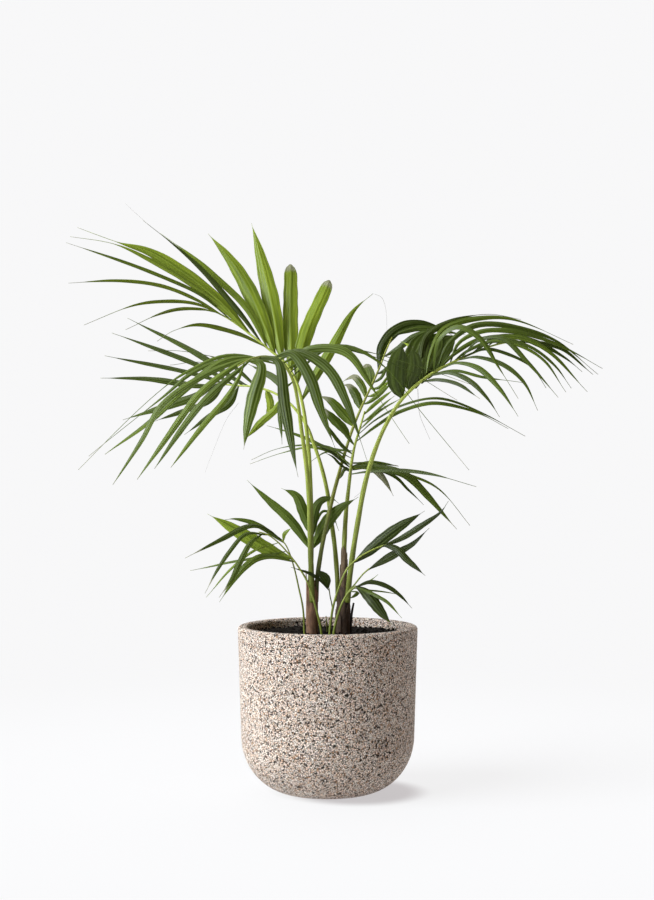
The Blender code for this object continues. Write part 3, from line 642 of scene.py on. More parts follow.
class Sheaf:
    """Mesh that is gathered from grids, with a strip map and marks for the materials."""

    MARKS = ("tone", "dry", "wide")

    def __init__(self) -> None:
        """Start empty."""
        self.points: list[np.ndarray] = []
        self.faces: list[np.ndarray] = []
        self.slots: list[np.ndarray] = []
        self.smooth: list[np.ndarray] = []
        self.strip: list[np.ndarray] = []
        self.marks: dict[str, list[np.ndarray]] = {name: [] for name in self.MARKS}
        self.count = 0

    def _keep(self, grid: np.ndarray, strip: np.ndarray, *marks: Any) -> int:
        """Store a grid's points and marks.

        Args:
            grid: Rows along and columns across.
            strip: Map of the grid.
            marks: Tone, dryness and strength of the ribs, broadcast over the grid.

        Returns:
            Index of the first point.
        """
        start = self.count
        self.points.append(grid.reshape(-1, 3))
        self.strip.append(strip.reshape(-1, 2))
        for name, values in zip(self.MARKS, marks):
            self.marks[name].append(np.broadcast_to(values, grid.shape[:2]).reshape(-1))
        self.count += len(self.points[-1])
        return start

    def _close(self, corners: Sequence[np.ndarray], slot: int, smooth: bool = False) -> None:
        """Store faces.

        Args:
            corners: Arrays of point indices, one for each corner.
            slot: Material slot.
            smooth: Whether they are shaded smooth.
        """
        self.faces.append(np.stack([c.reshape(-1) for c in corners], axis=1))
        self.slots.append(np.full(len(self.faces[-1]), slot))
        self.smooth.append(np.full(len(self.faces[-1]), smooth))

    def blade(self, top: np.ndarray, bottom: np.ndarray, strip: np.ndarray,
              marks: tuple[Any, Any, Any], slots: tuple[int, int]) -> None:
        """Add a thin closed blade.

        Args:
            top: Upper grid, rows along and columns across.
            bottom: Lower grid, the same shape.
            strip: Map of the grid.
            marks: Tone, dryness and strength of the ribs.
            slots: Material slots of the upper and lower face.
        """
        index = np.arange(top.shape[0] * top.shape[1]).reshape(top.shape[:2])
        upper, lower = (self._keep(grid, strip, *marks) + index for grid in (top, bottom))
        self._close((upper[:-1, :-1], upper[:-1, 1:], upper[1:, 1:], upper[1:, :-1]),
                    slots[0], True)
        self._close((lower[:-1, :-1], lower[1:, :-1], lower[1:, 1:], lower[:-1, 1:]),
                    slots[1], True)
        for high, low in ((upper[:, 0], lower[:, 0]), (upper[::-1, -1], lower[::-1, -1]),
                          (upper[0, ::-1], lower[0, ::-1]), (upper[-1], lower[-1])):
            self._close((high[:-1], high[1:], low[1:], low[:-1]), slots[1])

    def tube(self, line: np.ndarray, radii: np.ndarray, sides: int, slot: int, tone: float = 0.5,
             shape: Callable[[np.ndarray, np.ndarray], np.ndarray] | None = None) -> None:
        """Add a closed round bar.

        Args:
            line: Centre line.
            radii: Radius at each point.
            sides: Points round it.
            slot: Material slot.
            tone: Tone of the piece.
            shape: Gives a factor on the radius from the angle and the share along.
        """
        side, up = frames(line, np.array((1.0, 0.02, 0.0)), 0)
        angle = round_of(sides)
        reach = radii[:, None] * np.ones(sides)
        if shape is not None:
            reach = reach * shape(angle[None, :], np.linspace(0.0, 1.0, len(line))[:, None])
        grid = (line[:, None] + side[:, None] * (np.cos(angle) * reach)[..., None]
                + up[:, None] * (np.sin(angle) * reach)[..., None])
        run = run_of(line)
        across = np.abs(2 * np.arange(sides) / sides - 1)
        strip = np.stack(np.broadcast_arrays(across[None, :], run[:, None]), axis=2)
        marks = (tone, 0.0, 1.0)
        index = self._keep(grid, strip, *marks) + np.arange(grid.size // 3).reshape(-1, sides)
        wrap = np.roll(index, -1, axis=1)
        self._close((index[:-1], index[1:], wrap[1:], wrap[:-1]), slot, True)
        for end in (0, -1):
            middle = self._keep(line[end].reshape(1, 1, 3), np.array([[[0.5, run[end]]]]), *marks)
            fan = (wrap[end], np.full(sides, middle), index[end])
            self._close(fan[::-1] if end else fan, slot)

    def make(self, name: str, materials: Sequence[bpy.types.Material]) -> bpy.types.Object:
        """Build the object.

        Args:
            name: Piece name.
            materials: Materials in slot order.

        Returns:
            The new object.
        """
        mesh = bpy.data.meshes.new(name)
        faces = [tuple(row) for part in self.faces for row in part.tolist()]
        mesh.from_pydata(np.vstack(self.points).tolist(), [], faces)
        for material in materials:
            mesh.materials.append(material)
        mesh.polygons.foreach_set("material_index", np.concatenate(self.slots).astype(np.int32))
        mesh.polygons.foreach_set("use_smooth", np.concatenate(self.smooth))
        corner = np.empty(len(mesh.loops), np.int32)
        mesh.loops.foreach_get("vertex_index", corner)
        chart = mesh.uv_layers.new(name="strip")
        chart.data.foreach_set("uv", np.vstack(self.strip)[corner].astype(np.float32).reshape(-1))
        for label, values in self.marks.items():
            mark = mesh.attributes.new(label, "FLOAT", "POINT")
            mark.data.foreach_set("value", np.concatenate(values).astype(np.float32))
        mesh.update()
        return show(name, mesh)


# ---- leaves ----------------------------------------------------------------------------------
class Skin(IntEnum):
    """Material slots of a leaf."""

    UPPER = 0
    UNDER = 1
    STALK = 2
    THREAD = 3


class Tip(Enum):
    """How a leaflet ends: the shares of its length where its dryness starts and is full."""

    FINE = (0.86, 1.06)
    BLUNT = (0.86, 0.99)
    FOLDED = (0.45, 0.95)


@dataclass(frozen=True)
class Blade:
    """One leaflet: where it leaves the stalk and the way it takes.

    The width is in millimetres, the depth of its end and its way in centimetres. The tail is the
    share drawn out to a thread, and full keeps the body wide for longer. Station counts the
    stalk's points.
    """

    station: float
    width: float
    depth: float
    way: Sequence[tuple[float, float]]
    tone: float | None = None
    tip: Tip = Tip.FINE
    tail: float = 0.06
    full: float = 1.45
    twist: float | None = None
    fold: float = 1.0
    age: float = 0.0

    def outline(self, share: np.ndarray) -> np.ndarray:
        """Half width along the leaflet.

        Args:
            share: Places along it, 0 to 1.

        Returns:
            Shares of the greatest half width.
        """
        widest, foot = 0.34, 0.30
        tail = 0.0 if self.tip is Tip.BLUNT else self.tail
        body = np.clip(share / (1.0 - tail), 0.0, 1.0)
        rise = foot + (1.0 - foot) * np.sin(0.5 * math.pi * np.minimum(body / widest, 1.0))
        past = np.clip((body - widest) / (1.0 - widest), 0.0, 1.0)
        if self.tip is Tip.BLUNT:
            shoulder = ((body - 0.90) / 0.10).clip(0, 1)
            fall = (1.0 - 0.22 * past ** 1.6) * np.sqrt(np.clip(1.0 - shoulder ** 2, 0.02, 1))
        else:
            fall = np.cos(0.5 * math.pi * past ** self.full)
        return np.maximum(rise * fall, 0.0)


@dataclass(frozen=True)
class Thread:
    """Dry leaf thread: points in centimetres and its thickness in millimetres."""

    way: Sequence[Triple]
    thickness: float = 0.5


@dataclass
class Plan:
    """Layout of one leaf: stalk, the side its leaflets look to, and the leaflets.

    Points are in centimetres, the stalk's radii at its base and end in millimetres.
    """

    stalk: Sequence[Triple]
    base: float
    end: float
    look: Triple
    blades: Sequence[Blade]
    threads: Sequence[Thread] = ()
    tone: float = 0.5
    spread: float = 0.22
    ribs: float = 0.5


@dataclass
class Frond:
    """One palm leaf, grown as one piece: stalk, midrib and folded, pleated leaflets.

    Sizes are in metres; sway, roll and fold_degrees are angles in degrees. The pleats fade below
    the half width pleated_from, and the ribs show from ribs_from on, in full ribs_over later.
    """

    node: str
    plan: Plan
    skins: Sequence[bpy.types.Material]
    rows: int = 34
    columns: int = 11
    thickness: float = 0.0005
    pleat: float = 0.00046
    pleated_from: float = 0.006
    curl: float = 0.10
    drift: float = 0.0016
    sway: float = 16.0
    roll: float = 5.0
    ripple: float = 0.03
    crowding: float = 0.92
    least_half: Sequence[float] = (0.00085, 0.00030)
    ribs_from: float = 0.0018
    ribs_over: float = 0.0045
    thread_rows: int = 18
    thread_sides: int = 5
    stalk_sides: int = 16
    fold_at: Sequence[float] = (0.0, 0.12, 0.45, 1.0)
    fold_degrees: Sequence[float] = (58.0, 36.0, 22.0, 16.0)
    sheaf: Sheaf = field(default_factory=Sheaf)

    def build(self) -> bpy.types.Object:
        """Build the whole leaf.

        Returns:
            The piece, riding with its node.
        """
        seed = sum(ord(letter) * (index + 3) for index, letter in enumerate(self.node))
        chance = np.random.default_rng(seed)
        stalk = stand(self.plan.stalk)
        self._stalk(stalk)
        for blade in self.plan.blades:
            self._leaflet(stalk, blade, chance)
        for thread in self.plan.threads:
            line = glide(stand(thread.way), np.linspace(0.0, 1.0, self.thread_rows))
            ends = np.linspace(thread.thickness, thread.thickness * 0.5, self.thread_rows)
            self.sheaf.tube(line, ends * 0.5 * MILLIMETRE, self.thread_sides, Skin.THREAD)
        return settle(self.sheaf.make("palm_" + self.node, self.skins), self.node)

    def _stalk(self, stalk: np.ndarray) -> None:
        """Add the stalk and midrib, thicker at its foot and grooved on the upper side.

        Args:
            stalk: Points of the stalk.
        """
        share = np.linspace(0.0, 1.0, 10 * (len(stalk) - 1) + 1)
        base, end = self.plan.base, self.plan.end
        radii = np.interp(share, [0.0, 0.35, 1.0], [base, 0.80 * base + 0.20 * end, end])

        def profile(angle: np.ndarray, along: np.ndarray) -> np.ndarray:
            """Oval bar with a shallow groove and slight knuckles."""
            groove = 0.16 * np.exp(-((angle - 4.71) / 0.42) ** 2)
            return 1.0 - groove + 0.035 * np.sin(along * 61.0 + 2 * angle)

        self.sheaf.tube(glide(stalk, share), radii * MILLIMETRE, self.stalk_sides, Skin.STALK,
                        self.plan.tone, profile)

    def _way(self, root: np.ndarray, blade: Blade) -> np.ndarray:
        """Way of a leaflet, which goes evenly from its root's depth to the depth of its end.

        Args:
            root: Where it leaves the stalk.
            blade: The leaflet.

        Returns:
            Points of the way.
        """
        flat = stand([(x, 0.0, z) for x, z in blade.way])
        spans = np.vstack([[root[0], root[2]], flat[:, [0, 2]]])
        run = run_of(spans)
        deep = root[1] + (blade.depth * CENTIMETRE - root[1]) * run / run[-1]
        return np.stack([spans[:, 0], deep, spans[:, 1]], axis=1)

    def _section(self, share: np.ndarray, half: np.ndarray, folded: float,
                 phase: float) -> tuple[np.ndarray, np.ndarray]:
        """Fold, pleat and ripple a leaflet's cross-sections.

        Args:
            share: Places along the leaflet.
            half: Half width at each.
            folded: Share of the usual fold.
            phase: Where the edge's ripple starts.

        Returns:
            How far out and how far up each point of the grid lies.
        """
        cross = np.linspace(-1.0, 1.0, self.columns)[None, :]
        away = np.abs(cross)
        fold = np.radians(np.interp(share, self.fold_at, self.fold_degrees) * folded)[:, None]
        wave = np.sin(share * 37.0 + 9.0 * phase)[:, None]
        half = half[:, None]
        pleat = (self.pleat * np.cos(cross * 2 * FULL_TURN)
                 * np.minimum(half / self.pleated_from, 1.0))
        out = cross * (half * np.cos(fold)) * (1.0 + self.ripple * wave * away)
        lift = -away * (half * np.sin(fold)) + pleat + self.curl * away ** 3 * half
        return out, lift

    def _leaflet(self, stalk: np.ndarray, blade: Blade, chance: np.random.Generator) -> None:
        """Add one folded and pleated leaflet.

        Args:
            stalk: Points of the stalk.
            blade: The leaflet.
            chance: Source of small differences.
        """
        share = np.linspace(0.0, 1.0, self.rows) ** self.crowding
        line = glide(self._way(station_point(stalk, blade.station), blade), share)
        length = run_of(line)[-1]
        middle = self.rows // 2
        ahead = unit(line[middle + 1] - line[middle - 1])
        side, up = frames(line, np.cross(ahead, np.array(self.plan.look)), middle)
        pace, phase, turn = chance.uniform(-1.0, 1.0, 3)
        drift = (self.drift * np.sin(share * (4.0 + 2.0 * pace) + 6.0 * phase)
                 * share * (1 - share) * 4)
        line = line + side * drift[:, None]
        twist = blade.twist if blade.twist is not None else self.sway * turn
        roll = np.radians(twist * (share - 0.45)
                          + self.roll * np.sin(share * 9.0 + 5.0 * phase))
        side, up = (side * np.cos(roll)[:, None] + up * np.sin(roll)[:, None],
                    up * np.cos(roll)[:, None] - side * np.sin(roll)[:, None])
        half = np.maximum(0.5 * MILLIMETRE * blade.width * blade.outline(share),
                          np.interp(share, (0.0, 1.0), self.least_half))
        out, lift = self._section(share, half, blade.fold, phase)
        centre = line[:, None] + side[:, None] * out[..., None] + up[:, None] * lift[..., None]
        skin = up[:, None] * (0.5 * self.thickness)
        across = np.linspace(0.0, 1.0, self.columns)
        strip = np.stack(np.broadcast_arrays(across[None, :], (share * length)[:, None]), axis=2)
        tone = blade.tone
        if tone is None:
            tone = self.plan.tone + self.plan.spread * chance.uniform(-1, 1)
        start, end = blade.tip.value
        dry = np.clip((share - start) / (end - start) + blade.age, 0.0, 1.0)[:, None]
        shown = np.clip((half - self.ribs_from) / self.ribs_over, 0.0, 1.0)
        wide = self.plan.ribs * shown[:, None]
        self.sheaf.blade(centre + skin, centre - skin, strip,
                         (float(np.clip(tone, 0, 1)), dry, wide), (Skin.UPPER, Skin.UNDER))


# ---- stems -----------------------------------------------------------------------------------
@dataclass(frozen=True)
class Flap:
    """Old leaf base wrapped round a stem.

    Angles are in degrees, low and high in list centimetres, how far it stands proud in
    millimetres, and its flare and ragged top in metres.
    """

    turn: float
    reach: float
    low: float
    high: float
    proud: float
    flare: float = 0.0015
    ragged: float = 0.012


class Surface(Enum):
    """What a stem is: ridged bark, a shrunken husk, or nothing but its leaf bases."""

    BARK = "bark"
    HUSK = "husk"
    NONE = "none"


@dataclass
class Stem:
    """Stem or stub of a young palm, wrapped in old leaf bases.

    Each row is x, y and height in centimetres and the radius in millimetres.
    """

    node: str
    rows: Sequence[StemRow]
    skin: bpy.types.Material
    flaps: Sequence[Flap] = ()
    surface: Surface = Surface.BARK
    steps: int = 60
    sides: int = 56
    flap_rows: int = 22
    flap_columns: int = 25
    flap_thickness: float = 0.0006
    sheaf: Sheaf = field(default_factory=Sheaf)

    def build(self) -> bpy.types.Object:
        """Build the stem.

        Returns:
            The piece, riding with its node.
        """
        points = stand([row[:3] for row in self.rows])
        if self.surface is not Surface.NONE:
            shape = self._bark if self.surface is Surface.BARK else self._husk
            share = np.linspace(0.0, 1.0, self.steps)
            radii = np.interp(share, np.linspace(0, 1, len(self.rows)), self._radii())
            self.sheaf.tube(glide(points, share), radii, self.sides, 0, shape=shape)
        for flap in self.flaps:
            self._flap(points, flap)
        return settle(self.sheaf.make("palm_" + self.node, [self.skin]), self.node)

    def _radii(self) -> list[float]:
        """Radius of each row in metres."""
        return [row[3] * MILLIMETRE for row in self.rows]

    def _bark(self, angle: np.ndarray, along: np.ndarray) -> np.ndarray:
        """Lengthwise ridges that wander a little, differently on each stem."""
        seed = sum(map(ord, self.node))
        return (0.94 + 0.035 * np.sin(13 * angle + 3 * np.sin(5 * along + seed))
                + 0.025 * np.sin(29 * angle + 7 * along) + 0.02 * np.sin(31 * along + angle))

    def _husk(self, angle: np.ndarray, along: np.ndarray) -> np.ndarray:
        """Shrunken, ridged surface that is hollow on one side near its end."""
        hollow = 0.3 * along ** 4 * np.exp(-((angle - 3.1) / 0.8) ** 2)
        return 1.0 + 0.08 * np.sin(5 * angle) - hollow

    def _flap(self, points: np.ndarray, flap: Flap) -> None:
        """Add one wrapped leaf base with a ragged top.

        Args:
            points: Points of the stem.
            flap: The leaf base.
        """
        low, high = (SOIL_LEVEL + (z - LIST_SOIL_LEVEL) * CENTIMETRE
                     for z in (flap.low, flap.high))
        angle = np.radians(flap.turn + flap.reach * np.linspace(-0.5, 0.5, self.flap_columns))
        share = np.linspace(0.0, 1.0, self.flap_rows)[:, None]
        spread = np.linspace(-1.0, 1.0, self.flap_columns)[None, :]
        teeth = 0.35 * np.sin(spread * 19.0 + flap.turn) + 0.25 * np.sin(spread * 41.0)
        top = high - flap.ragged * (np.abs(spread) ** 1.3 + 0.3 * teeth)
        height = low + (top - low) * share
        heights = points[:, 2]
        x, y = (np.interp(height, heights, points[:, k]) for k in (0, 1))
        base = np.interp(height, heights, self._radii())
        ridges = 0.0002 * np.sin(angle * 30)[None, :]
        reach = base + flap.proud * MILLIMETRE + flap.flare * share ** 3 + ridges
        cos, sin = np.cos(angle)[None, :], np.sin(angle)[None, :]
        outer = np.stack([x + cos * reach, y + sin * reach, height], axis=2)
        inward = np.stack(np.broadcast_arrays(cos, sin, np.zeros_like(height)), axis=2)
        across = np.broadcast_to(spread * 0.5 + 0.5, height.shape)
        strip = np.stack([across, height - low], axis=2)
        self.sheaf.blade(outer, outer - inward * self.flap_thickness, strip, (0.5, 0.0, 1.0),
                         (0, 0))


# ---- planter and soil ------------------------------------------------------------------------
def lathe(name: str, profile: np.ndarray, steps: int, wear: float = 0.0,
          seed: int = 0) -> bpy.types.Object:
    """Turn a profile about the Z axis; ends on the axis are closed with a fan.

    Args:
        name: Piece name.
        profile: Rows of radius and height; the first and last lie on the axis.
        steps: Points round the axis.
        wear: Size of the small unevenness, in metres.
        seed: Seed of the unevenness.

    Returns:
        The new object, closed, without a material.
    """
    angle = round_of(steps)
    body = profile[1:-1]
    rough = np.random.default_rng(seed).normal(0.0, wear, (len(body), steps))
    radius = body[:, :1] + rough
    grid = np.stack([radius * np.cos(angle), radius * np.sin(angle),
                     np.broadcast_to(body[:, 1:], radius.shape) + 0.5 * rough], axis=2)
    points = grid.reshape(-1, 3).tolist()
    first, last = len(points), len(points) + 1
    points += [(0.0, 0.0, profile[0, 1]), (0.0, 0.0, profile[-1, 1])]
    index = np.arange(len(body) * steps).reshape(len(body), steps)
    turn = np.roll(index, -1, axis=1)
    quads = np.stack([index[:-1], index[1:], turn[1:], turn[:-1]], axis=2).reshape(-1, 4)
    fans = [(first, *pair) for pair in zip(index[0].tolist(), turn[0].tolist())]
    fans += [(last, *pair) for pair in zip(turn[-1].tolist(), index[-1].tolist())]
    mesh = bpy.data.meshes.new(name)
    mesh.from_pydata(points, [], quads.tolist() + fans)
    work = bmesh.new()
    work.from_mesh(mesh)
    bmesh.ops.recalc_face_normals(work, faces=work.faces)
    work.to_mesh(mesh)
    work.free()
    soften(mesh)
    return show(name, mesh)


@dataclass
class Planter:
    """Round-bottomed planter with a soft rim and three drain holes."""

    skin: bpy.types.Material
    height: float = 0.277
    rim_radius: float = 0.150
    waist_radius: float = 0.1445
    foot_radius: float = 0.058
    round_height: float = 0.095
    wall: float = 0.016
    floor: float = 0.022
    inner_foot: float = 0.046
    lip: float = 0.006
    drain_radius: float = 0.006
    drain_circle: float = 0.030
    drain_count: int = 3
    drain_sides: int = 28
    wear: float = 0.00010
    wear_seed: int = 11
    steps: int = 210
    bowl_points: tuple[int, int] = (18, 30)
    side_points: int = 34
    rim_points: int = 15

    def _bowl(self, inner: float, outer: float, low: float, count: int) -> np.ndarray:
        """Quarter ellipse from the inner radius, low down, out to the upright side."""
        angle = np.linspace(0, 0.5 * math.pi, count)
        return np.stack([inner + (outer - inner) * np.sin(angle),
                         low + (self.round_height - low) * (1 - np.cos(angle))], axis=1)

    def _profile(self) -> np.ndarray:
        """Section from the middle of the inside floor, over the rim, to the middle of the foot.

        Returns:
            Rows of radius and height.
        """
        inside = self._bowl(self.inner_foot, self.waist_radius - self.wall, self.floor,
                            self.bowl_points[0])
        top = self.height - self.lip
        levels = np.linspace(self.round_height, top, self.side_points)[1:-1]
        share = (levels - self.round_height) / (top - self.round_height)
        lean = self.waist_radius + (self.rim_radius - self.waist_radius) * share
        inner_side = np.stack([lean - self.wall, levels], axis=1)
        outer_side = np.stack([lean, levels], axis=1)[::-1]
        half = self.wall / 2
        turn = np.linspace(0, math.pi, self.rim_points)
        squash = np.abs(np.cos(turn)) ** 0.8 * np.sign(np.cos(turn))
        rim = np.stack([self.rim_radius - half - half * squash,
                        top + self.lip * np.sin(turn)], axis=1)
        outside = self._bowl(self.foot_radius, self.waist_radius, 0.0, self.bowl_points[1])[::-1]
        floor = np.array([(0.0, self.floor), (self.inner_foot * 0.5, self.floor)])
        foot = np.array([(self.foot_radius - 0.002, 0.0), (self.foot_radius * 0.8, 0.0),
                         (0.02, 0.0), (0.0, 0.0)])
        return np.vstack([floor, inside, inner_side, rim, outer_side, outside, foot])

    def _drain(self, piece: bpy.types.Object) -> None:
        """Cut the drain holes through the floor.

        Args:
            piece: The planter.
        """
        for index in range(self.drain_count):
            turn = FULL_TURN * (index + 0.25) / self.drain_count
            work = bmesh.new()
            bmesh.ops.create_cone(work, cap_ends=True, segments=self.drain_sides,
                                  radius1=self.drain_radius, radius2=self.drain_radius,
                                  depth=3 * self.floor)
            mesh = bpy.data.meshes.new(f"drain_{index}")
            work.to_mesh(mesh)
            work.free()
            bar = show(mesh.name, mesh)
            bar.location = (self.drain_circle * math.cos(turn),
                            self.drain_circle * math.sin(turn), 0.0)
            cut = piece.modifiers.new("drain", "BOOLEAN")
            cut.operation = "DIFFERENCE"
            cut.solver = "EXACT"
            cut.object = bar
            bpy.context.view_layer.update()
            graph = bpy.context.evaluated_depsgraph_get()
            piece.data = bpy.data.meshes.new_from_object(piece.evaluated_get(graph))
            piece.modifiers.clear()
            bpy.data.objects.remove(bar)

    def build(self) -> bpy.types.Object:
        """Build the planter.

        Returns:
            The piece, riding with its node.
        """
        piece = lathe("planter_shell", self._profile(), self.steps, self.wear,
                      self.wear_seed)
        self._drain(piece)
        piece.data.materials.append(self.skin)
        return settle(piece, "pot")


@dataclass
class Soil:
    """Crumbly potting soil: a closed body with an uneven top, strewn with loose crumbs."""

    skin: bpy.types.Material
    level: float = SOIL_LEVEL
    edge: float = 0.1332
    depth: float = 0.05
    rings: int = 70
    steps: int = 200
    crumbs: int = 900
    crumb_sizes: tuple[float, float] = (0.0007, 0.0024)
    lump_above: float = 0.93
    lump_growth: float = 1.6
    swell: float = 0.0022
    grain: float = 0.0012
    seed: int = 21

    def _lift(self, x: float, y: float) -> float:
        """Height of the uneven surface above the level.

        Args:
            x: Place to the right.
            y: Place to the back.

        Returns:
            Height in metres.
        """
        broad = noise.noise(Vector((x * 38.0, y * 38.0, 0.3)))
        fine = noise.noise(Vector((x * 170.0, y * 170.0, 4.0)))
        edge = max(0.0, math.hypot(x, y) / self.edge - 0.9) * 0.02
        return self.swell + self.swell * broad + self.grain * fine - edge

    def build(self) -> bpy.types.Object:
        """Build the soil.

        Returns:
            The piece, riding with its node.
        """
        bottom = self.level - self.depth
        top = [(r, self.level) for r in (0.0, *np.linspace(0.001, self.edge, self.rings))]
        wall = [(self.edge, self.level - 0.01), (self.edge - 0.001, bottom)]
        under = [(self.edge * 0.5, bottom), (0.0, bottom)]
        piece = lathe("potting_soil", np.array(top + wall + under), self.steps)
        for vertex in piece.data.vertices:
            if vertex.co.z > self.level - 0.001:
                vertex.co.z = self.level + self._lift(vertex.co.x, vertex.co.y)
        self._strew(piece)
        soften(piece.data)
        piece.data.materials.append(self.skin)
        return settle(piece, "soil")

    def _strew(self, piece: bpy.types.Object) -> None:
        """Add small uneven crumbs that rest on the surface.

        Args:
            piece: The soil.
        """
        chance = np.random.default_rng(self.seed)
        work = bmesh.new()
        work.from_mesh(piece.data)
        for _ in range(self.crumbs):
            reach = (self.edge - 0.006) * math.sqrt(chance.uniform(0, 1))
            turn = chance.uniform(0, FULL_TURN)
            x, y = reach * math.cos(turn), reach * math.sin(turn)
            size = chance.uniform(*self.crumb_sizes)
            if chance.uniform() > self.lump_above:
                size *= self.lump_growth
            crumb = bmesh.ops.create_icosphere(work, subdivisions=1, radius=size)["verts"]
            squash = chance.uniform(0.55, 1.0, 3)
            lean = chance.uniform(0, math.pi)
            cos, sin = math.cos(lean), math.sin(lean)
            for vertex in crumb:
                bulge = 1.0 + 0.25 * chance.uniform(-1, 1)
                a, b, c = (part * share * bulge for part, share in zip(vertex.co, squash))
                vertex.co = (x + a * cos - b * sin, y + a * sin + b * cos,
                             self.level + self._lift(x, y) + size * 0.35 + c)
        work.to_mesh(piece.data)
        work.free()


# ---- studio ----------------------------------------------------------------------------------
def hang(light: bpy.types.Light, power: float, colour: Colour, place: Triple | Vector,
         source: Vector) -> None:
    """Hang a light that shines away from its source.

    Args:
        light: The light.
        power: Its power.
        colour: Its colour.
        place: Where it hangs.
        source: Direction that its light comes from.
    """
    light.energy = power
    light.color = colour
    lamp = show(light.name, light)
    lamp.location = place
    lamp.rotation_euler = source.to_track_quat("Z", "Y").to_euler()


@dataclass
class Lamp:
    """Soft square light aimed at a point."""

    name: str
    place: Triple
    aim: Triple
    size: float
    power: float
    colour: Colour = (1.0, 1.0, 1.0)

    def build(self) -> None:
        """Add the light."""
        light = bpy.data.lights.new(self.name, "AREA")
        light.shape = "SQUARE"
        light.size = self.size
        hang(light, self.power, self.colour, self.place, Vector(self.place) - Vector(self.aim))


@dataclass
class Sun:
    """Broad daylight from `turn` degrees left of the viewer and `rise` above the floor."""

    name: str
    turn: float
    rise: float
    spread: float
    power: float
    colour: Colour = (1.0, 1.0, 1.0)

    def build(self) -> None:
        """Add the light."""
        light = bpy.data.lights.new(self.name, "SUN")
        light.angle = math.radians(self.spread)
        turn, rise = math.radians(self.turn), math.radians(self.rise)
        source = Vector((-math.sin(turn) * math.cos(rise), -math.cos(turn) * math.cos(rise),
                         math.sin(rise)))
        hang(light, self.power, self.colour, source * 3.0, source)


@dataclass
class Studio:
    """White sweep, daylight from one side and the camera."""

    floor_skin: bpy.types.Material
    lamps: Sequence[Lamp | Sun] = ()
    camera_place: Triple = (-0.0012, -2.80, 0.570)
    lens: float = 67.0
    film: float = 36.0
    view_limit: float = 200.0
    floor_radius: float = 40.0
    wall_radius: float = 39.5
    wall_levels: tuple[float, float] = (-1.0, 60.0)
    round_steps: int = 96
    bright_way: Triple = (-0.50, 0.86, 0.12)
    bright_step: tuple[float, float] = (-0.20, 0.62)
    brightness: tuple[float, float] = (0.125, 0.955)
    dim_tint: Colour = (1.0, 0.66, 0.46)
    bright_tint: Colour = (0.985, 0.988, 1.0)

    def build(self) -> None:
        """Build floor, backdrop, world, lights and camera."""
        ring = list(range(self.round_steps))
        self._stage_piece("studio_floor", self._ring(self.floor_radius, 0.0), [ring])
        low, high = (self._ring(self.wall_radius, level) for level in self.wall_levels)
        count = self.round_steps
        sides = [(i, i + count, (i + 1) % count + count, (i + 1) % count) for i in ring]
        wall = self._stage_piece("studio_wall", low + high, sides)
        for rays in ("diffuse", "glossy", "transmission", "shadow"):
            setattr(wall, "visible_" + rays, False)
        self._world()
        for lamp in self.lamps:
            lamp.build()
        self._camera()
        view = bpy.context.scene.view_settings
        view.view_transform = "Standard"
        view.look = "None"

    def _ring(self, radius: float, height: float) -> list[Triple]:
        """Points of a level circle."""
        return [(radius * math.cos(a), radius * math.sin(a), height)
                for a in round_of(self.round_steps)]

    def _stage_piece(self, name: str, points: list[Triple],
                     faces: Sequence[Sequence[int]]) -> bpy.types.Object:
        """Add a pale piece of the stage.

        Args:
            name: Name of the piece.
            points: Its corners.
            faces: Rows of indices.

        Returns:
            The piece.
        """
        mesh = bpy.data.meshes.new(name)
        mesh.from_pydata(points, [], faces)
        mesh.materials.append(self.floor_skin)
        piece = show(name, mesh)
        return piece

    def _world(self) -> None:
        """White surroundings, dimmer and warmer on the front and right."""
        world = bpy.data.worlds.new("white_room")
        bpy.context.scene.world = world
        world.use_nodes = True
        web = Web(world.node_tree)
        way = web.add("ShaderNodeTexCoord", {}, {}, "Generated")
        toward = web.vector("DOT_PRODUCT", way, self.bright_way, "Value")
        share = toward.between(*self.bright_step, *self.brightness)
        sky = web.tree.nodes["Background"]
        web.feed(sky.inputs["Color"], web.blend(share, self.dim_tint, self.bright_tint))
        web.feed(sky.inputs["Strength"], share)

    def _camera(self) -> None:
        """Level camera in front of the planter."""
        data = bpy.data.cameras.new("camera")
        data.lens = self.lens
        data.sensor_width = self.film
        data.clip_end = self.view_limit
        camera = show("camera", data)
        camera.location = self.camera_place
        camera.rotation_euler = (math.pi / 2, 0.0, 0.0)
        bpy.context.scene.camera = camera


# ---- colours and layout ----------------------------------------------------------------------
SHADES = ((0.0, (0.011, 0.014, 0.003)), (0.25, (0.034, 0.046, 0.007)),
          (0.5, (0.078, 0.112, 0.014)), (0.75, (0.185, 0.250, 0.022)),
          (1.0, (0.350, 0.445, 0.040)))
PALE_SHADES = ((0.0, (0.032, 0.040, 0.015)), (0.3, (0.080, 0.098, 0.036)),
               (0.6, (0.150, 0.185, 0.070)), (1.0, (0.300, 0.360, 0.140)))
# rib colours below are partly the ribs' own colour and partly painted sheen on the crests
LEAF_SKINS = (
    BladeFinish("leaf_upper", SHADES, rib_and_sheen=(0.215, 0.275, 0.100), dry=(0.350, 0.335, 0.235),
                through=(0.42, 0.52, 0.015), share=0.26, gloss=0.30),
    BladeFinish("leaf_under", PALE_SHADES, rib_and_sheen=(0.260, 0.300, 0.165), dry=(0.360, 0.320, 0.240),
                through=(0.26, 0.44, 0.03), share=0.30, gloss=0.42))
GREEN = StalkFinish("stalk_green", (0.150, 0.185, 0.024), (0.370, 0.440, 0.070),
                    (0.120, 0.090, 0.040))
OLIVE = StalkFinish("stalk_olive", (0.085, 0.100, 0.016), (0.270, 0.290, 0.045),
                    (0.050, 0.040, 0.018))
OLIVE_NODES = ("frond_middle", "leaf_tiny")
THREAD = FibreFinish("leaf_thread", (0.130, 0.115, 0.080), (0.330, 0.320, 0.280))
BARK = FibreFinish("stem_fibre_red", (0.040, 0.019, 0.011), (0.360, 0.190, 0.105))
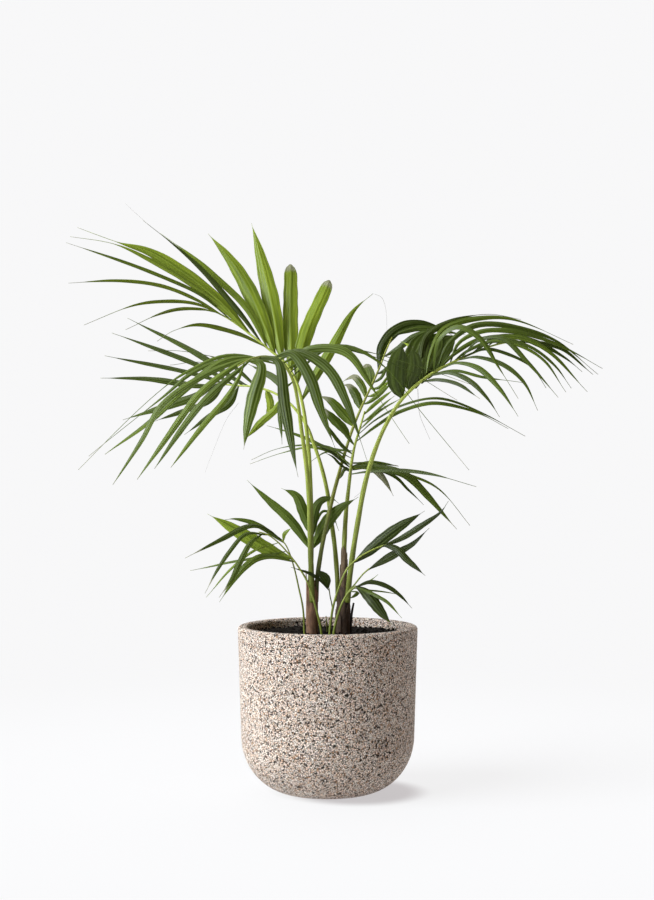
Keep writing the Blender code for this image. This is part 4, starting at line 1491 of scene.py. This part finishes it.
DARK_BARK = FibreFinish("stem_fibre_dark", (0.008, 0.005, 0.003), (0.120, 0.070, 0.040))
BLACK_STUB = FibreFinish("stub_black", (0.004, 0.003, 0.003), (0.030, 0.022, 0.016))
SHEATH = FibreFinish("sheath_fibre", (0.045, 0.027, 0.014), (0.210, 0.140, 0.075))
CHIPS = ((0.0, (0.020, 0.012, 0.008)), (0.085, (0.170, 0.092, 0.058)),
         (0.125, (0.570, 0.330, 0.190)), (0.165, (0.500, 0.420, 0.390)),
         (0.23, (0.830, 0.630, 0.490)), (0.44, (0.960, 0.815, 0.700)),
         (0.74, (0.980, 0.900, 0.810)))
STONE = PebbleFinish("planter_aggregate", (0.012, 0.007, 0.005), CHIPS, big=510.0, small=1050.0)
EARTH = SoilFinish("potting_soil", (0.0025, 0.002, 0.0015), (0.012, 0.009, 0.006))
SWEEP = FloorFinish("studio_sweep", near=0.835, far=0.9525)
LAMPS = (
    Sun("window", turn=64.0, rise=33.0, spread=46.0, power=6.3, colour=(0.885, 0.95, 1.0)),
    Lamp("ceiling", place=(-0.3, 1.2, 3.0), aim=(0.0, 0.0, 0.5), size=2.0, power=14.0))

TRUNK_LEFT = [(-2.60, 0.05, 22, 9.6), (-2.60, 0.05, 26, 9.4), (-2.62, 0.05, 30, 9.0),
              (-2.65, 0.05, 34.6, 7.4)]
TRUNK_LEFT_FLAPS = [Flap(250, 190, 25.4, 34.8, 0.4, 0.0012, 0.020),
                    Flap(20, 170, 25.4, 33.2, 0.7, 0.0016, 0.018),
                    Flap(185, 80, 27.0, 36.2, 0.9, 0.0022, 0.022),
                    Flap(300, 70, 25.4, 30.5, 1.2, 0.0010, 0.014)]
TRUNK_RIGHT = [(2.50, 0.20, 22, 11.0), (2.50, 0.20, 26, 10.6), (2.52, 0.20, 30, 9.2),
               (2.58, 0.20, 33.4, 7.8)]
TRUNK_RIGHT_FLAPS = [Flap(265, 200, 25.4, 33.6, 0.5, 0.0014, 0.022),
                     Flap(60, 180, 25.4, 32.4, 0.8, 0.0020, 0.020),
                     Flap(215, 80, 25.4, 30.2, 1.3, 0.0020, 0.016),
                     Flap(330, 70, 25.4, 31.2, 1.4, 0.0024, 0.016)]
YOUNG_SHEATH = [(2.58, 0.30, 32.9, 5.4), (2.66, 0.42, 36.0, 5.0), (2.78, 1.00, 40.4, 4.6)]
YOUNG_SHEATH_FLAPS = [Flap(250, 300, 33.0, 40.2, 0.2, 0.0006, 0.024),
                      Flap(70, 210, 33.0, 38.6, 0.8, 0.0012, 0.020)]
DRY_STUB = [(3.75, 1.6, 22, 3.0), (3.75, 1.6, 26, 3.0), (3.95, 1.7, 28.5, 2.6),
            (4.35, 1.8, 30.7, 1.7)]
GREEN_STUB = [(-0.1, 1.6, 22, 1.7), (-0.1, 1.6, 26, 1.6), (-0.2, 1.6, 27.3, 1.3),
              (-0.3, 1.6, 28.5, 0.8)]

PLANS: dict[str, Plan] = {}
PLANS["frond_front"] = Plan(
    stalk=[(-2.6, -0.6, 31), (-2.7, -0.8, 35), (-2.9, -1.2, 40), (-3, -1.5, 45), (-3.2, -1.5, 50),
           (-3.7, -1.5, 55), (-4.4, -1.8, 60), (-4.9, -2.5, 64), (-5.7, -4, 67.8),
           (-7.4, -7, 70.6), (-9.6, -11, 71.4), (-11.9, -15, 70.9), (-14, -19, 69.5)],
    base=4.6, end=1.2, look=(-0.1, -0.9, 0.42), ribs=1.0, tone=0.42, spread=0.14,
    blades=[
        Blade(8.2, 6, -7, [(0, 73), (6, 72), (12.8, 69.4), (21.1, 64.5)], tail=0.5, age=0.5),
        Blade(8.4, 6, -9, [(-1, 73), (4.9, 72.8), (11.7, 71.1), (23.4, 66.9)], tail=0.5, age=0.5),
        Blade(8.6, 9, -12, [(-1.5, 72.7), (3.9, 73.2), (9.7, 69.6), (15.4, 62.3), (22.6, 53.2)],
              tone=0.45, tail=0.5, full=1.2, age=0.4),
        Blade(9, 17, -13, [(-2.9, 72.8), (2.9, 72.1), (7, 66.6), (13, 57.4)], tail=0.3, full=1.2),
        Blade(9.3, 19, -15, [(-4.9, 72.5), (0, 69.5), (3.05, 63.6), (6.4, 54.2)],
              tail=0.15, full=1.2),
        Blade(9.7, 21, -16, [(-5.8, 72), (-2.9, 68), (-0.95, 62.7), (1.7, 55.3)],
              tail=0.12, full=1.2),
        Blade(10.6, 20, -20, [(-7.9, 70.3), (-6.9, 63.5), (-4.6, 52.2)], tail=0.05, full=1.3),
        Blade(11.3, 24, -21, [(-10.6, 69.6), (-11.7, 64.4), (-13, 56.5)],
              tail=0.03, full=1.3, age=0.2),
        Blade(8, 10, -9, [(-7.6, 65.5), (-7.4, 57.3)]),
        Blade(8.8, 8, -10, [(-15.6, 72), (-22.3, 69.6), (-28.6, 64.9), (-40.2, 53.2)],
              tail=0.45, age=0.5),
        Blade(9.2, 8, -11, [(-15, 71.5), (-21.8, 69.1), (-27, 64.7), (-38.4, 55.4)],
              tail=0.3, age=0.4),
        Blade(9.6, 13, -14, [(-16.4, 71), (-22.6, 66.6), (-28.7, 60.8), (-35.4, 55.7)],
              tone=0.6, tail=0.0, full=1.4),
        Blade(10, 12, -16, [(-14.4, 70.7), (-20, 68.2), (-26.2, 63.6), (-29.4, 57.9),
           (-33.9, 50.9)],
              tone=0.55, tail=0.0, full=1.4),
        Blade(10.5, 13, -19, [(-13.8, 70.3), (-19.4, 66.2), (-23.1, 61.7), (-29.7, 51.8)],
              tone=0.62, tail=0.0, full=1.4),
        Blade(11.1, 13, -21, [(-13.5, 69.5), (-17.8, 65.6), (-21.4, 61.4), (-26.8, 53.5)],
              tone=0.5, tail=0.0, full=1.4),
        Blade(11.6, 11, -23, [(-13.8, 68.2), (-15.8, 64.6), (-19, 60.4), (-24.1, 53.7)],
              tone=0.62, tail=0.0, full=1.4),
    ])
PLANS["frond_crown"] = Plan(
    stalk=[(-3.1, 0.5, 31), (-2.9, 0.8, 35), (-2.75, 1, 40), (-2.75, 0.9, 45), (-2.9, 0.7, 50),
           (-3.1, 0.8, 55), (-3.6, 1, 60), (-4.2, 1.5, 64), (-5.2, 2, 67.6), (-7.1, 3, 71),
           (-9.9, 4, 73.4), (-13.2, 5, 76.1), (-16.9, 6, 78.8), (-20, 6.5, 80.4)],
    base=4.4, end=1.2, look=(0, -1, 0.1), ribs=0.6,
    blades=[
        Blade(7.2, 20, 9, [(-2.2, 68.6), (0.5, 73.6), (4.1, 79.9), (7.85, 83.4)],
              tone=0.74, tail=0.08, full=1.2),
        Blade(8, 28, 12, [(-4.4, 73.3), (-2.3, 79.7), (0.3, 86)], tone=0.84, tip=Tip.BLUNT),
        Blade(8.6, 29, 14, [(-6.3, 75.4), (-6.3, 81.9), (-6.5, 89)], tone=0.86, tip=Tip.BLUNT),
        Blade(9.2, 32, 14, [(-8.4, 75.4), (-10.1, 83.9), (-13.4, 96.2)],
              tone=0.84, tail=0.03, full=1.3),
        Blade(9.7, 30, 11, [(-10.7, 77.4), (-14.2, 84.8), (-17.1, 89.5), (-20.8, 94)],
              tone=0.8, tail=0.03, full=1.3),
        Blade(10.1, 13, 9, [(-13.7, 80.4), (-17.9, 84.9), (-22.6, 89.3), (-28.9, 93.8)],
              tone=0.72, tail=0.1, full=1.1),
        Blade(10.4, 11, 6, [(-14.7, 79.6), (-19.9, 85.5), (-24.5, 89.8), (-31.5, 95.6)],
              tone=0.22, tail=0.12, full=1.0),
        Blade(11, 24, 3, [(-18.1, 81.6), (-24.2, 86.3), (-30.2, 89.8), (-35.4, 91.4), (-42.3, 94)],
              tone=0.86, tail=0.2, full=1.5, age=0.12),
        Blade(11.4, 12, 1, [(-18, 81), (-24.1, 85.4), (-30, 88.5), (-36, 91), (-43.2, 92.2)],
              tone=0.78, tail=0.2, full=1.3, age=0.2),
        Blade(11.8, 7, -3, [(-21.2, 82.4), (-27, 85.2), (-33.9, 87.9), (-43.3, 90.7)],
              tone=0.6, full=1.6, age=0.35),
        Blade(12.1, 7, -8, [(-22.2, 81.9), (-27.8, 83.8), (-34.4, 84.2), (-42.1, 83.5)],
              tone=0.75, full=1.8, age=0.35),
        Blade(12.4, 7, -12, [(-22, 81.1), (-26.6, 81.3), (-32, 80.2), (-39, 76.4)],
              tone=0.8, tail=0.25, age=0.5),
        Blade(12.7, 7, -14, [(-21.2, 80.3), (-24.5, 79.8), (-28, 78.2), (-32.1, 75.5)],
              tone=0.8, tail=0.25, age=0.5),
        Blade(10.2, 9, -12, [(-15, 76), (-20.6, 77), (-24.7, 75.7), (-27.3, 73.8)],
              tone=0.75, tail=0.2, age=0.4),
    ],
    threads=[Thread([(8.1, 9, 83.3), (9.4, 9, 82.6), (10.1, 9, 80.2), (10.2, 9, 76.4)], 0.5),
             Thread([(-31.3, 6, 95.5), (-33.4, 6, 97.4), (-34.6, 6, 98.6)], 0.4)])
PLANS["frond_left"] = Plan(
    stalk=[(1.75, 0.95, 31), (1.6, 1.4, 35), (1.2, 2.4, 40), (0.6, 3.4, 44.5), (-0.1, 3.8, 49.5),
           (-1.2, 4.2, 54), (-2.4, 4.6, 57.5), (-3.6, 5, 60.6), (-6.1, 6, 64), (-9.2, 7.5, 66.2),
           (-12.7, 9, 67.3), (-16.1, 10.5, 67.6), (-19.3, 12, 68)],
    base=4.2, end=1.2, look=(0, -0.75, 0.65), ribs=0.6, tone=0.36, spread=0.12,
    blades=[
        Blade(10.5, 14, 17, [(-20.3, 71.6), (-27.3, 75.7), (-35.5, 79.8)], full=1.1),
        Blade(11, 13, 15, [(-21.9, 70.9), (-29.3, 74), (-38, 77)], full=1.1),
        Blade(11.4, 12, 13, [(-21.8, 69.3), (-30.2, 71.2), (-39, 72.9)], full=1.1),
        Blade(11.8, 15, 11, [(-22.9, 67.7), (-31.2, 68.7), (-39.5, 68.9)], full=1.3),
        Blade(12, 20, 10, [(-24, 65.6), (-29, 63.9), (-35.5, 61.6)], full=1.2),
        Blade(11.6, 14, 7, [(-20.5, 65), (-25, 63.2), (-29.7, 61.3)]),
        Blade(10.8, 15, 4, [(-17, 64.3), (-20.5, 62), (-24.3, 59)], full=1.1),
        Blade(9.8, 9, 14, [(-17.6, 71.8), (-25, 73.7), (-31.5, 73.8)], tail=0.5, age=0.4),
        Blade(10.2, 8, 16, [(-21.4, 71.5), (-27.9, 71.4)], tail=0.4),
        Blade(8.6, 16, -1, [(-9, 63.2), (-11.2, 61), (-13.8, 58.1)], tone=0.8),
        Blade(9.4, 15, 10, [(-9.9, 64.7), (-10.3, 62.1)], tone=0.95, tip=Tip.BLUNT, age=0.8),
        Blade(8.2, 16, 14, [(-8.5, 68.5), (-14, 71.5)]),
    ],
    threads=[Thread([(-15.4, 10, 64.6), (-17.6, 9.5, 61.5), (-20.0, 9, 55.6),
           (-21.2, 9, 52.4)], 0.4)])
PLANS["frond_middle"] = Plan(
    stalk=[(-1.95, 0.3, 31), (-1.75, -0.1, 35), (-1, -0.5, 40), (-0.2, -0.5, 44), (0.7, 0, 48),
           (1.8, 3, 52), (2.95, 5.7, 56), (4.3, 7, 60.1), (6, 8, 64.2), (7.75, 8.8, 67.9),
           (9.1, 9.4, 71), (10.1, 10.3, 73.6), (11.2, 11.3, 76)],
    base=4, end=1.2, look=(0, -1, 0.2), ribs=0.35, tone=0.38, spread=0.12,
    blades=[
        Blade(7.1, 19, 10, [(2.3, 62.8), (0.4, 64.9), (-1.7, 65.9)], tone=0.6, tip=Tip.FOLDED),
        Blade(6.6, 18, 8, [(2.4, 60.4), (0.5, 62.4), (-1.4, 64)], tone=0.4, tip=Tip.FOLDED),
        Blade(7.8, 18, 11, [(4.7, 66.1), (3.7, 67.6), (2.4, 67.7)],
              tone=0.5, tip=Tip.FOLDED, age=0.15),
        Blade(8.3, 14, 13, [(5.8, 67.9), (4.5, 69.3), (2.4, 68.2)],
              tone=0.6, tip=Tip.FOLDED, age=0.45),
        Blade(8.9, 18, 14, [(7.4, 69.8), (6.7, 71.5)], tone=0.6, tip=Tip.BLUNT, age=0.6),
        Blade(9.8, 22, 16, [(9.6, 74.4), (11.9, 77.3), (15.2, 78.6), (18.9, 78.2), (22.5, 76.4)],
              tone=0.1, tail=0.1, full=1.1, age=0.0),
        Blade(8.7, 6, 7, [(8.7, 67.2), (10, 68.7), (11.1, 70)], tone=0.55),
        Blade(8.35, 7, 6, [(7.9, 65.8), (9.6, 67.4), (11.2, 68.8)], tone=0.7),
        Blade(8.0, 8, 5, [(7.2, 64.7), (9.4, 66.6), (11.2, 68.1)], tone=0.55),
        Blade(9.5, 9, 8, [(10.5, 70.5), (14, 73)]),
        Blade(10.6, 12, 9, [(12, 74), (15.5, 76.2), (20, 77)]),
        Blade(12, 11, 12, [(13, 77), (17, 77.5), (24, 76.5)]),
        Blade(9.0, 6, 8, [(9.3, 68.8), (10.2, 70.3), (11, 71.6)], tone=0.5),
    ])
PLANS["frond_young"] = Plan(
    stalk=[(2.55, 0.25, 31), (2.65, 0.4, 36), (2.8, 1.2, 41), (3.1, 2.4, 46), (3.6, 3.2, 50.5),
           (4, 3.6, 54), (4.6, 4, 57.2), (5.5, 4.6, 60.2), (6.3, 5, 63)],
    base=4.8, end=1.4, look=(0, -0.8, 0.6), ribs=0.4, tone=0.45, spread=0.12,
    blades=[
        Blade(5, 5, 9, [(1, 55.9), (-3, 56.9), (-8.2, 55.7), (-13.4, 54)], tail=0.25, age=0.4),
        Blade(5.3, 5, 10, [(0, 57), (-5.2, 57.1), (-9.4, 56.3), (-13.2, 54.7)], tail=0.25, age=0.3),
        Blade(5.7, 8, 9, [(0, 56.9), (-4.1, 58.6), (-10.5, 60.6)]),
        Blade(4.9, 5, 6, [(1.5, 55.9), (-0.5, 55.9), (-2.9, 54.4)]),
        Blade(5.5, 8, 3, [(2.7, 57), (1, 59.2), (-0.8, 61.6)]),
        Blade(6, 10, 3, [(3.3, 58.9), (1.8, 60.9), (-0.5, 63.6)]),
        Blade(4.6, 8, 6, [(2.8, 53.1), (1.9, 51.3)]),
        Blade(4.5, 9, -6, [(6.5, 52.8), (12, 53.1), (17.7, 52.4), (24.3, 50.4)], tail=0.2),
        Blade(5, 5, 8, [(5, 54.2), (8, 54.1), (12.2, 53.6)], age=0.4),
        Blade(4.8, 14, 3, [(7, 53.7), (9.3, 52), (11.1, 48.6)], tone=0.7, tip=Tip.FOLDED, age=0.6),
        Blade(4.7, 8, 6, [(7.5, 53.4), (11.6, 51.9), (13.7, 49.8), (16.4, 47)]),
        Blade(4.9, 17, -1, [(8, 53.6), (13, 52.2), (16.8, 48.6), (21.5, 43.2)],
              tone=0.4, tail=0.04, full=1.2, age=0.38),
        Blade(5.1, 6, 4, [(8, 54.1), (14.1, 52.2), (19, 49.6), (24.1, 43.6)], tail=0.2, age=0.3),
        Blade(6.6, 6, -1, [(8.2, 61.6), (13.2, 64.2), (19.1, 65.1), (26, 62.6), (32.9, 58.7)],
              tail=0.12, full=1.6),
        Blade(6.2, 9, 3, [(8.1, 60.4), (12.3, 63), (18.1, 64.5), (24.7, 63), (30.5, 60)],
              tail=0.1, full=1.6),
        Blade(6.9, 5, 4, [(7.6, 61.9), (10, 63.7), (12.6, 65.3)], tone=0.6),
        Blade(7.3, 6, 4, [(7, 62), (9.2, 63.9), (11.4, 65.6)], tone=0.6),
        Blade(7.8, 8, 6, [(7.3, 63.6), (9.4, 65.2), (11.4, 66.8)], tone=0.65),
        Blade(4.9, 5, 5, [(7, 54.3), (9.5, 54.1), (12, 53.7)], age=0.5),
        Blade(4.75, 5, 4, [(6.3, 53.6), (9, 53.4)], tone=0.1),
        Blade(4.8, 6, 5, [(2.4, 54.8), (0.5, 56.2), (-2, 57)], tone=0.1),
        Blade(4.65, 5, 4, [(2.2, 54.1), (1, 55.3), (-0.6, 56)], tone=0.15),
    ])
PLANS["frond_right"] = Plan(
    stalk=[(3.3, -0.55, 31), (3.65, -0.9, 35), (4.3, -1.3, 40), (5.1, -1.8, 45), (6, -2.3, 50),
           (7.2, -2.6, 54.5), (8.7, -2.8, 58.6), (10.4, -3, 62), (12.2, -3, 64.7),
           (14.6, -2.6, 67.1), (17.5, -2, 69.2), (21, -1, 71.1), (24.5, 0, 72.7), (28, 1, 74),
           (31.6, 2, 74.8)],
    base=4.8, end=1.2, look=(0.1, -0.85, 0.5), ribs=0.3, tone=0.4, spread=0.18,
    blades=[
        Blade(8.1, 36, -5, [(11.5, 67.6), (11.5, 70.8), (12.3, 74)], tone=0.3, full=2.4),
        Blade(8.6, 30, -4.6, [(13.3, 67.6), (14.2, 70.2), (14, 73.4)], tone=0.34, full=2.4),
        Blade(9.1, 13, 14, [(15.5, 71), (16.7, 75.8), (21.6, 78.8), (28, 80), (33.9, 79.3)],
              tail=0.3, full=1.2, age=0.2),
        Blade(9.6, 12, 12, [(17.3, 73), (19.7, 77), (25.6, 78.9), (32.5, 78.7), (42.8, 74.8)],
              tail=0.15, full=1.0),
        Blade(10.2, 12, 8, [(20, 74), (24.4, 77.2), (30.5, 77.3), (38.8, 75), (46.5, 69.4)],
              tail=0.08, full=1.1),
        Blade(10.8, 11, 4, [(22, 74.5), (26.6, 76.6), (33.2, 76.1), (40, 73.6), (46.6, 70.2)],
              tail=0.08, full=1.1),
        Blade(12, 11, 2, [(28, 75.3), (33, 75), (38.1, 72.1), (43.7, 66.2)], full=1.1),
        Blade(13, 10, 5, [(31, 75.6), (35.8, 74.6), (40, 72.3), (43.3, 69.7)], full=1.1),
        Blade(12.5, 7, -3, [(29, 75), (34, 73.4), (37.8, 70.4), (40.3, 66.6)]),
        Blade(11.8, 7, -5, [(27, 74.6), (31.8, 73.6), (36, 70.8), (39.1, 65.9)]),
        Blade(11.3, 11, -9, [(25, 74.8), (29, 74.9), (32.5, 70.9), (37.3, 64.9)], full=1.1),
        Blade(10, 14, -10, [(18, 74.3), (21.2, 76.7), (25, 74.6), (28, 69.6), (30.7, 64.7)],
              tail=0.15, full=1.1),
        Blade(11.2, 10, -8, [(24.8, 72), (29, 70.6), (32.2, 67.5), (34.1, 62.8)], full=1.1),
        Blade(10.4, 12, -10, [(21.5, 71), (25, 69.9), (28.2, 66.3), (30.7, 61.8)], full=1.1),
        Blade(9.8, 11, -11, [(20.2, 69.3), (23.3, 67.8), (25.7, 64.9), (27.6, 61.7)], full=1.1),
        Blade(9.3, 9, -9, [(18.3, 68), (21.6, 67.1), (24.6, 64.7)], age=0.3),
        Blade(9.9, 7, -6, [(21.2, 69.5), (25.7, 68.5), (32, 67.4)], tail=0.2),
        Blade(10.3, 9, 2, [(21, 72.5), (25, 74.8), (30.5, 75.4), (36, 73.5)], full=1.1),
        Blade(10.9, 8, 0, [(23.5, 73), (28, 74.6), (33, 73.6), (37, 70.5)]),
        Blade(11.4, 7, -4, [(26, 73.3), (29.8, 72.4), (33.6, 70.2), (36, 66.6)]),
        Blade(14, 9, 4, [(35, 74.6), (40, 73.2), (45, 69.2)]),
        Blade(8.7, 15, 3, [(14.4, 71.2), (13.9, 73.6), (12.3, 74.8)],
              tone=0.95, fold=0.5, full=2.0),
        Blade(8.8, 40, 4, [(14.6, 70.4), (15.6, 74), (17, 77)],
              tone=0.28, full=2.2, fold=0.12, twist=0.0),
        Blade(9.2, 42, 5, [(16, 71), (17.6, 74.2), (19.6, 76.8)],
              tone=0.32, full=2.2, fold=0.12, twist=0.0),
        Blade(9.6, 38, 6, [(17.8, 71.8), (19.8, 74.4), (22.2, 76.2)],
              tone=0.28, full=2.2, fold=0.12, twist=0.0),
    ],
    threads=[Thread([(15.0, -1, 66.6), (15.2, -2, 62.6), (16.1, -3, 60.0),
           (16.9, -3.4, 58.1)], 0.8)])
PLANS["leaf_low_left"] = Plan(
    stalk=[(-0.8, -3, 22), (-1, -3.2, 26), (-2, -3.4, 30.5), (-3.3, -3.6, 34.5), (-5, -4, 37.4),
           (-6.5, -4.5, 39.4), (-8.1, -5, 41.2), (-9.8, -5.5, 42.5), (-11.3, -6, 43)],
    base=2, end=1, look=(-0.1, -0.9, 0.4),
    blades=[
        Blade(4.6, 26, -2, [(-9.5, 40), (-14, 42.4), (-20, 45.8)], tone=0.78),
        Blade(7, 8, -10, [(-13.3, 42.7), (-16, 39.9), (-18.2, 36.6), (-19.8, 33.3)],
              tone=0.35, age=0.7),
        Blade(7.5, 11, -12, [(-12.7, 41.3), (-14.3, 38.4), (-15.7, 35.4), (-17.4, 32.8)],
              tone=0.4, age=0.68),
        Blade(5.2, 5, -1, [(-12.5, 38.4), (-17, 37.7), (-22.9, 36.3)]),
        Blade(4.3, 13, -8, [(-8.9, 39.1), (-11.7, 38.6), (-14.4, 36.2), (-17.6, 31.7)], tone=0.55),
        Blade(6, 5, -6, [(-12, 40), (-16.2, 36.4), (-19.9, 32.3)]),
    ])
PLANS["leaf_low_back"] = Plan(
    stalk=[(-2.4, 2.8, 22), (-2.4, 2.8, 28), (-2.5, 2.6, 34), (-2.7, 2.6, 39), (-2.8, 3, 42)],
    base=3, end=2.4, look=(0, -1, 0.1),
    blades=[
        Blade(3.1, 18, 6, [(-6, 44.2), (-9.9, 47.8), (-13.8, 51.3)], tone=0.5, full=1.2),
        Blade(4, 20, 5, [(-4.2, 46), (-5.4, 48.7), (-7.9, 49.9)], tone=0.5, full=1.6),
        Blade(3.8, 17, 1.2, [(-2.2, 45.5), (-1.2, 47.6), (0.6, 48.2), (1.9, 47.4)], tone=0.45),
        Blade(3.2, 24, -2, [(-0.6, 43.4), (2, 46.5), (5.1, 48.6)], tone=0.45, full=1.2),
        Blade(3.8, 5, 6, [(-1, 45.8), (0.9, 45.2), (1.9, 42.6)]),
    ],
    threads=[Thread([(4.4, -1.4, 48.5), (5.4, -1.6, 49.3), (6.4, -1.8, 50.6)], 0.5)])
PLANS["leaf_side_left"] = Plan(
    stalk=[(-3.9, -1.6, 22), (-3.9, -1.7, 26), (-4.1, -1.9, 30), (-4.8, -2.1, 33.5),
           (-5.6, -2.3, 37), (-6.6, -2.5, 40), (-7.6, -2.7, 41.6)],
    base=1.7, end=1, look=(-0.1, -0.85, 0.5),
    blades=[
        Blade(6, 11, -9, [(-10.3, 43.6), (-13.2, 44), (-17.5, 41.9), (-23.1, 38.9)],
              tone=0.3, full=1.2, age=0.7),
        Blade(5.8, 8, -3, [(-7.3, 42.6), (-6, 43.5)]),
        Blade(5.6, 10, -2, [(-11.8, 44.2), (-15, 45), (-17.2, 44.8)], tone=0.45),
    ])
PLANS["leaf_low_right"] = Plan(
    stalk=[(0.3, -3.2, 22), (0.3, -3.2, 26), (0.8, -3.1, 30), (1.7, -3, 33.2), (2.9, -3, 36.2),
           (4.3, -3, 37.9), (6.4, -3, 39.4), (8.9, -3, 40.5), (10.4, -3, 40.8)],
    base=2.2, end=1, look=(0.1, -0.9, 0.4),
    blades=[
        Blade(5, 22, -2, [(7.6, 40.4), (11.5, 43.3), (16.1, 46.3)], tone=0.1, full=1.5),
        Blade(7.2, 12, -4, [(11.9, 41.8), (15.3, 44), (18.5, 46.1), (19.9, 48)],
              tone=0.06, full=1.1),
        Blade(7, 14, -7, [(9.7, 40.7), (11.4, 40.1), (13.1, 38.2), (15.9, 35.9)], tone=0.06),
    ])
PLANS["leaf_side_right"] = Plan(
    stalk=[(0.9, -1.8, 22), (0.95, -1.8, 26), (2, -2, 30), (3.3, -2.2, 32.6), (4.6, -2.4, 34.3),
           (5.8, -2.6, 35.8), (6.9, -2.8, 36.8)],
    base=1.6, end=1.2, look=(0.1, -0.8, 0.6),
    blades=[
        Blade(6, 14, -3, [(9, 38.1), (11.7, 39.6), (14.3, 41), (16.8, 43.5)], tone=0.05, full=1.2),
        Blade(5.6, 8, -1.5, [(10, 39.1), (13.3, 40.6), (15.6, 42.2)], tone=0.2),
    ])
PLANS["leaf_rim"] = Plan(
    stalk=[(0.9, -4.2, 22), (0.95, -4.4, 26), (1.9, -4.6, 30), (3.2, -4.8, 32.7), (4.7, -5, 34.1)],
    base=2.2, end=1.6, look=(0.1, -0.9, 0.4),
    blades=[
        Blade(4, 22, -8, [(6.2, 33), (8.2, 30.7), (10.5, 28)], tone=0.1),
        Blade(3.85, 9, -6, [(6.9, 34.7), (9.8, 33.9), (12.1, 32.4), (13.8, 30.5)], tone=0.12),
        Blade(3.9, 7, -9, [(7.8, 32.6), (10, 31.5), (12, 29.2)]),
        Blade(3.3, 7, -6.5, [(5, 33.1), (3.4, 32.1)]),
        Blade(3.7, 3, -3, [(8, 33.2), (12, 32.4)]),
        Blade(3.55, 3, -4, [(6.4, 34.7), (8.3, 35.9)]),
    ])
PLANS["leaf_tiny"] = Plan(
    stalk=[(0.3, 0.2, 22), (0.4, 0.2, 26), (0.8, 0, 29.5), (0.4, -0.4, 32), (0.2, -0.8, 33.4)],
    base=1.3, end=0.9, look=(0, -1, 0.2),
    blades=[
        Blade(4, 16, -2.4, [(-0.2, 34.6), (-0.9, 35.6), (-1.7, 36.7)], tone=0.15),
        Blade(3.6, 6, -2.8, [(-1.2, 34.9), (-3.3, 36.2), (-6.1, 37)], tone=0.08),
    ])


# ---- assembly --------------------------------------------------------------------------------
def build_plant() -> None:
    """Build stems, stubs, sheath and all leaves."""
    green, olive, thread = GREEN.make(), OLIVE.make(), THREAD.make()
    upper, under = (finish.make() for finish in LEAF_SKINS)
    Stem("trunk_left", TRUNK_LEFT, BARK.make(), TRUNK_LEFT_FLAPS).build()
    Stem("trunk_right", TRUNK_RIGHT, DARK_BARK.make(), TRUNK_RIGHT_FLAPS).build()
    for node, rows, skin in (("stub_dry", DRY_STUB, BLACK_STUB.make()),
                             ("stub_green", GREEN_STUB, green)):
        Stem(node, rows, skin, surface=Surface.HUSK, steps=26, sides=18).build()
    Stem("sheath_young", YOUNG_SHEATH, SHEATH.make(), YOUNG_SHEATH_FLAPS,
         Surface.NONE).build()
    for node, plan in PLANS.items():
        stalk = olive if node in OLIVE_NODES else green
        Frond(node, plan, [upper, under, stalk, thread]).build()


def clear_start(nodes: dict[str, Any]) -> None:
    """Remove startup objects that are neither the frame's nor ours.

    Args:
        nodes: The frame's nodes by name.
    """
    for name in ("Cube", "Light", "Camera"):
        if name in bpy.data.objects and name not in nodes:
            bpy.data.objects.remove(bpy.data.objects[name])


def main() -> None:
    """Build every piece over the frame, then the studio."""
    logging.basicConfig(level=logging.INFO, format="%(name)s: %(message)s")
    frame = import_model()
    clear_start(frame["nodes"])
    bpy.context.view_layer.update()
    Planter(STONE.make()).build()
    Soil(EARTH.make()).build()
    build_plant()
    Studio(SWEEP.make(), LAMPS).build()


if __name__ == "__main__":
    main()
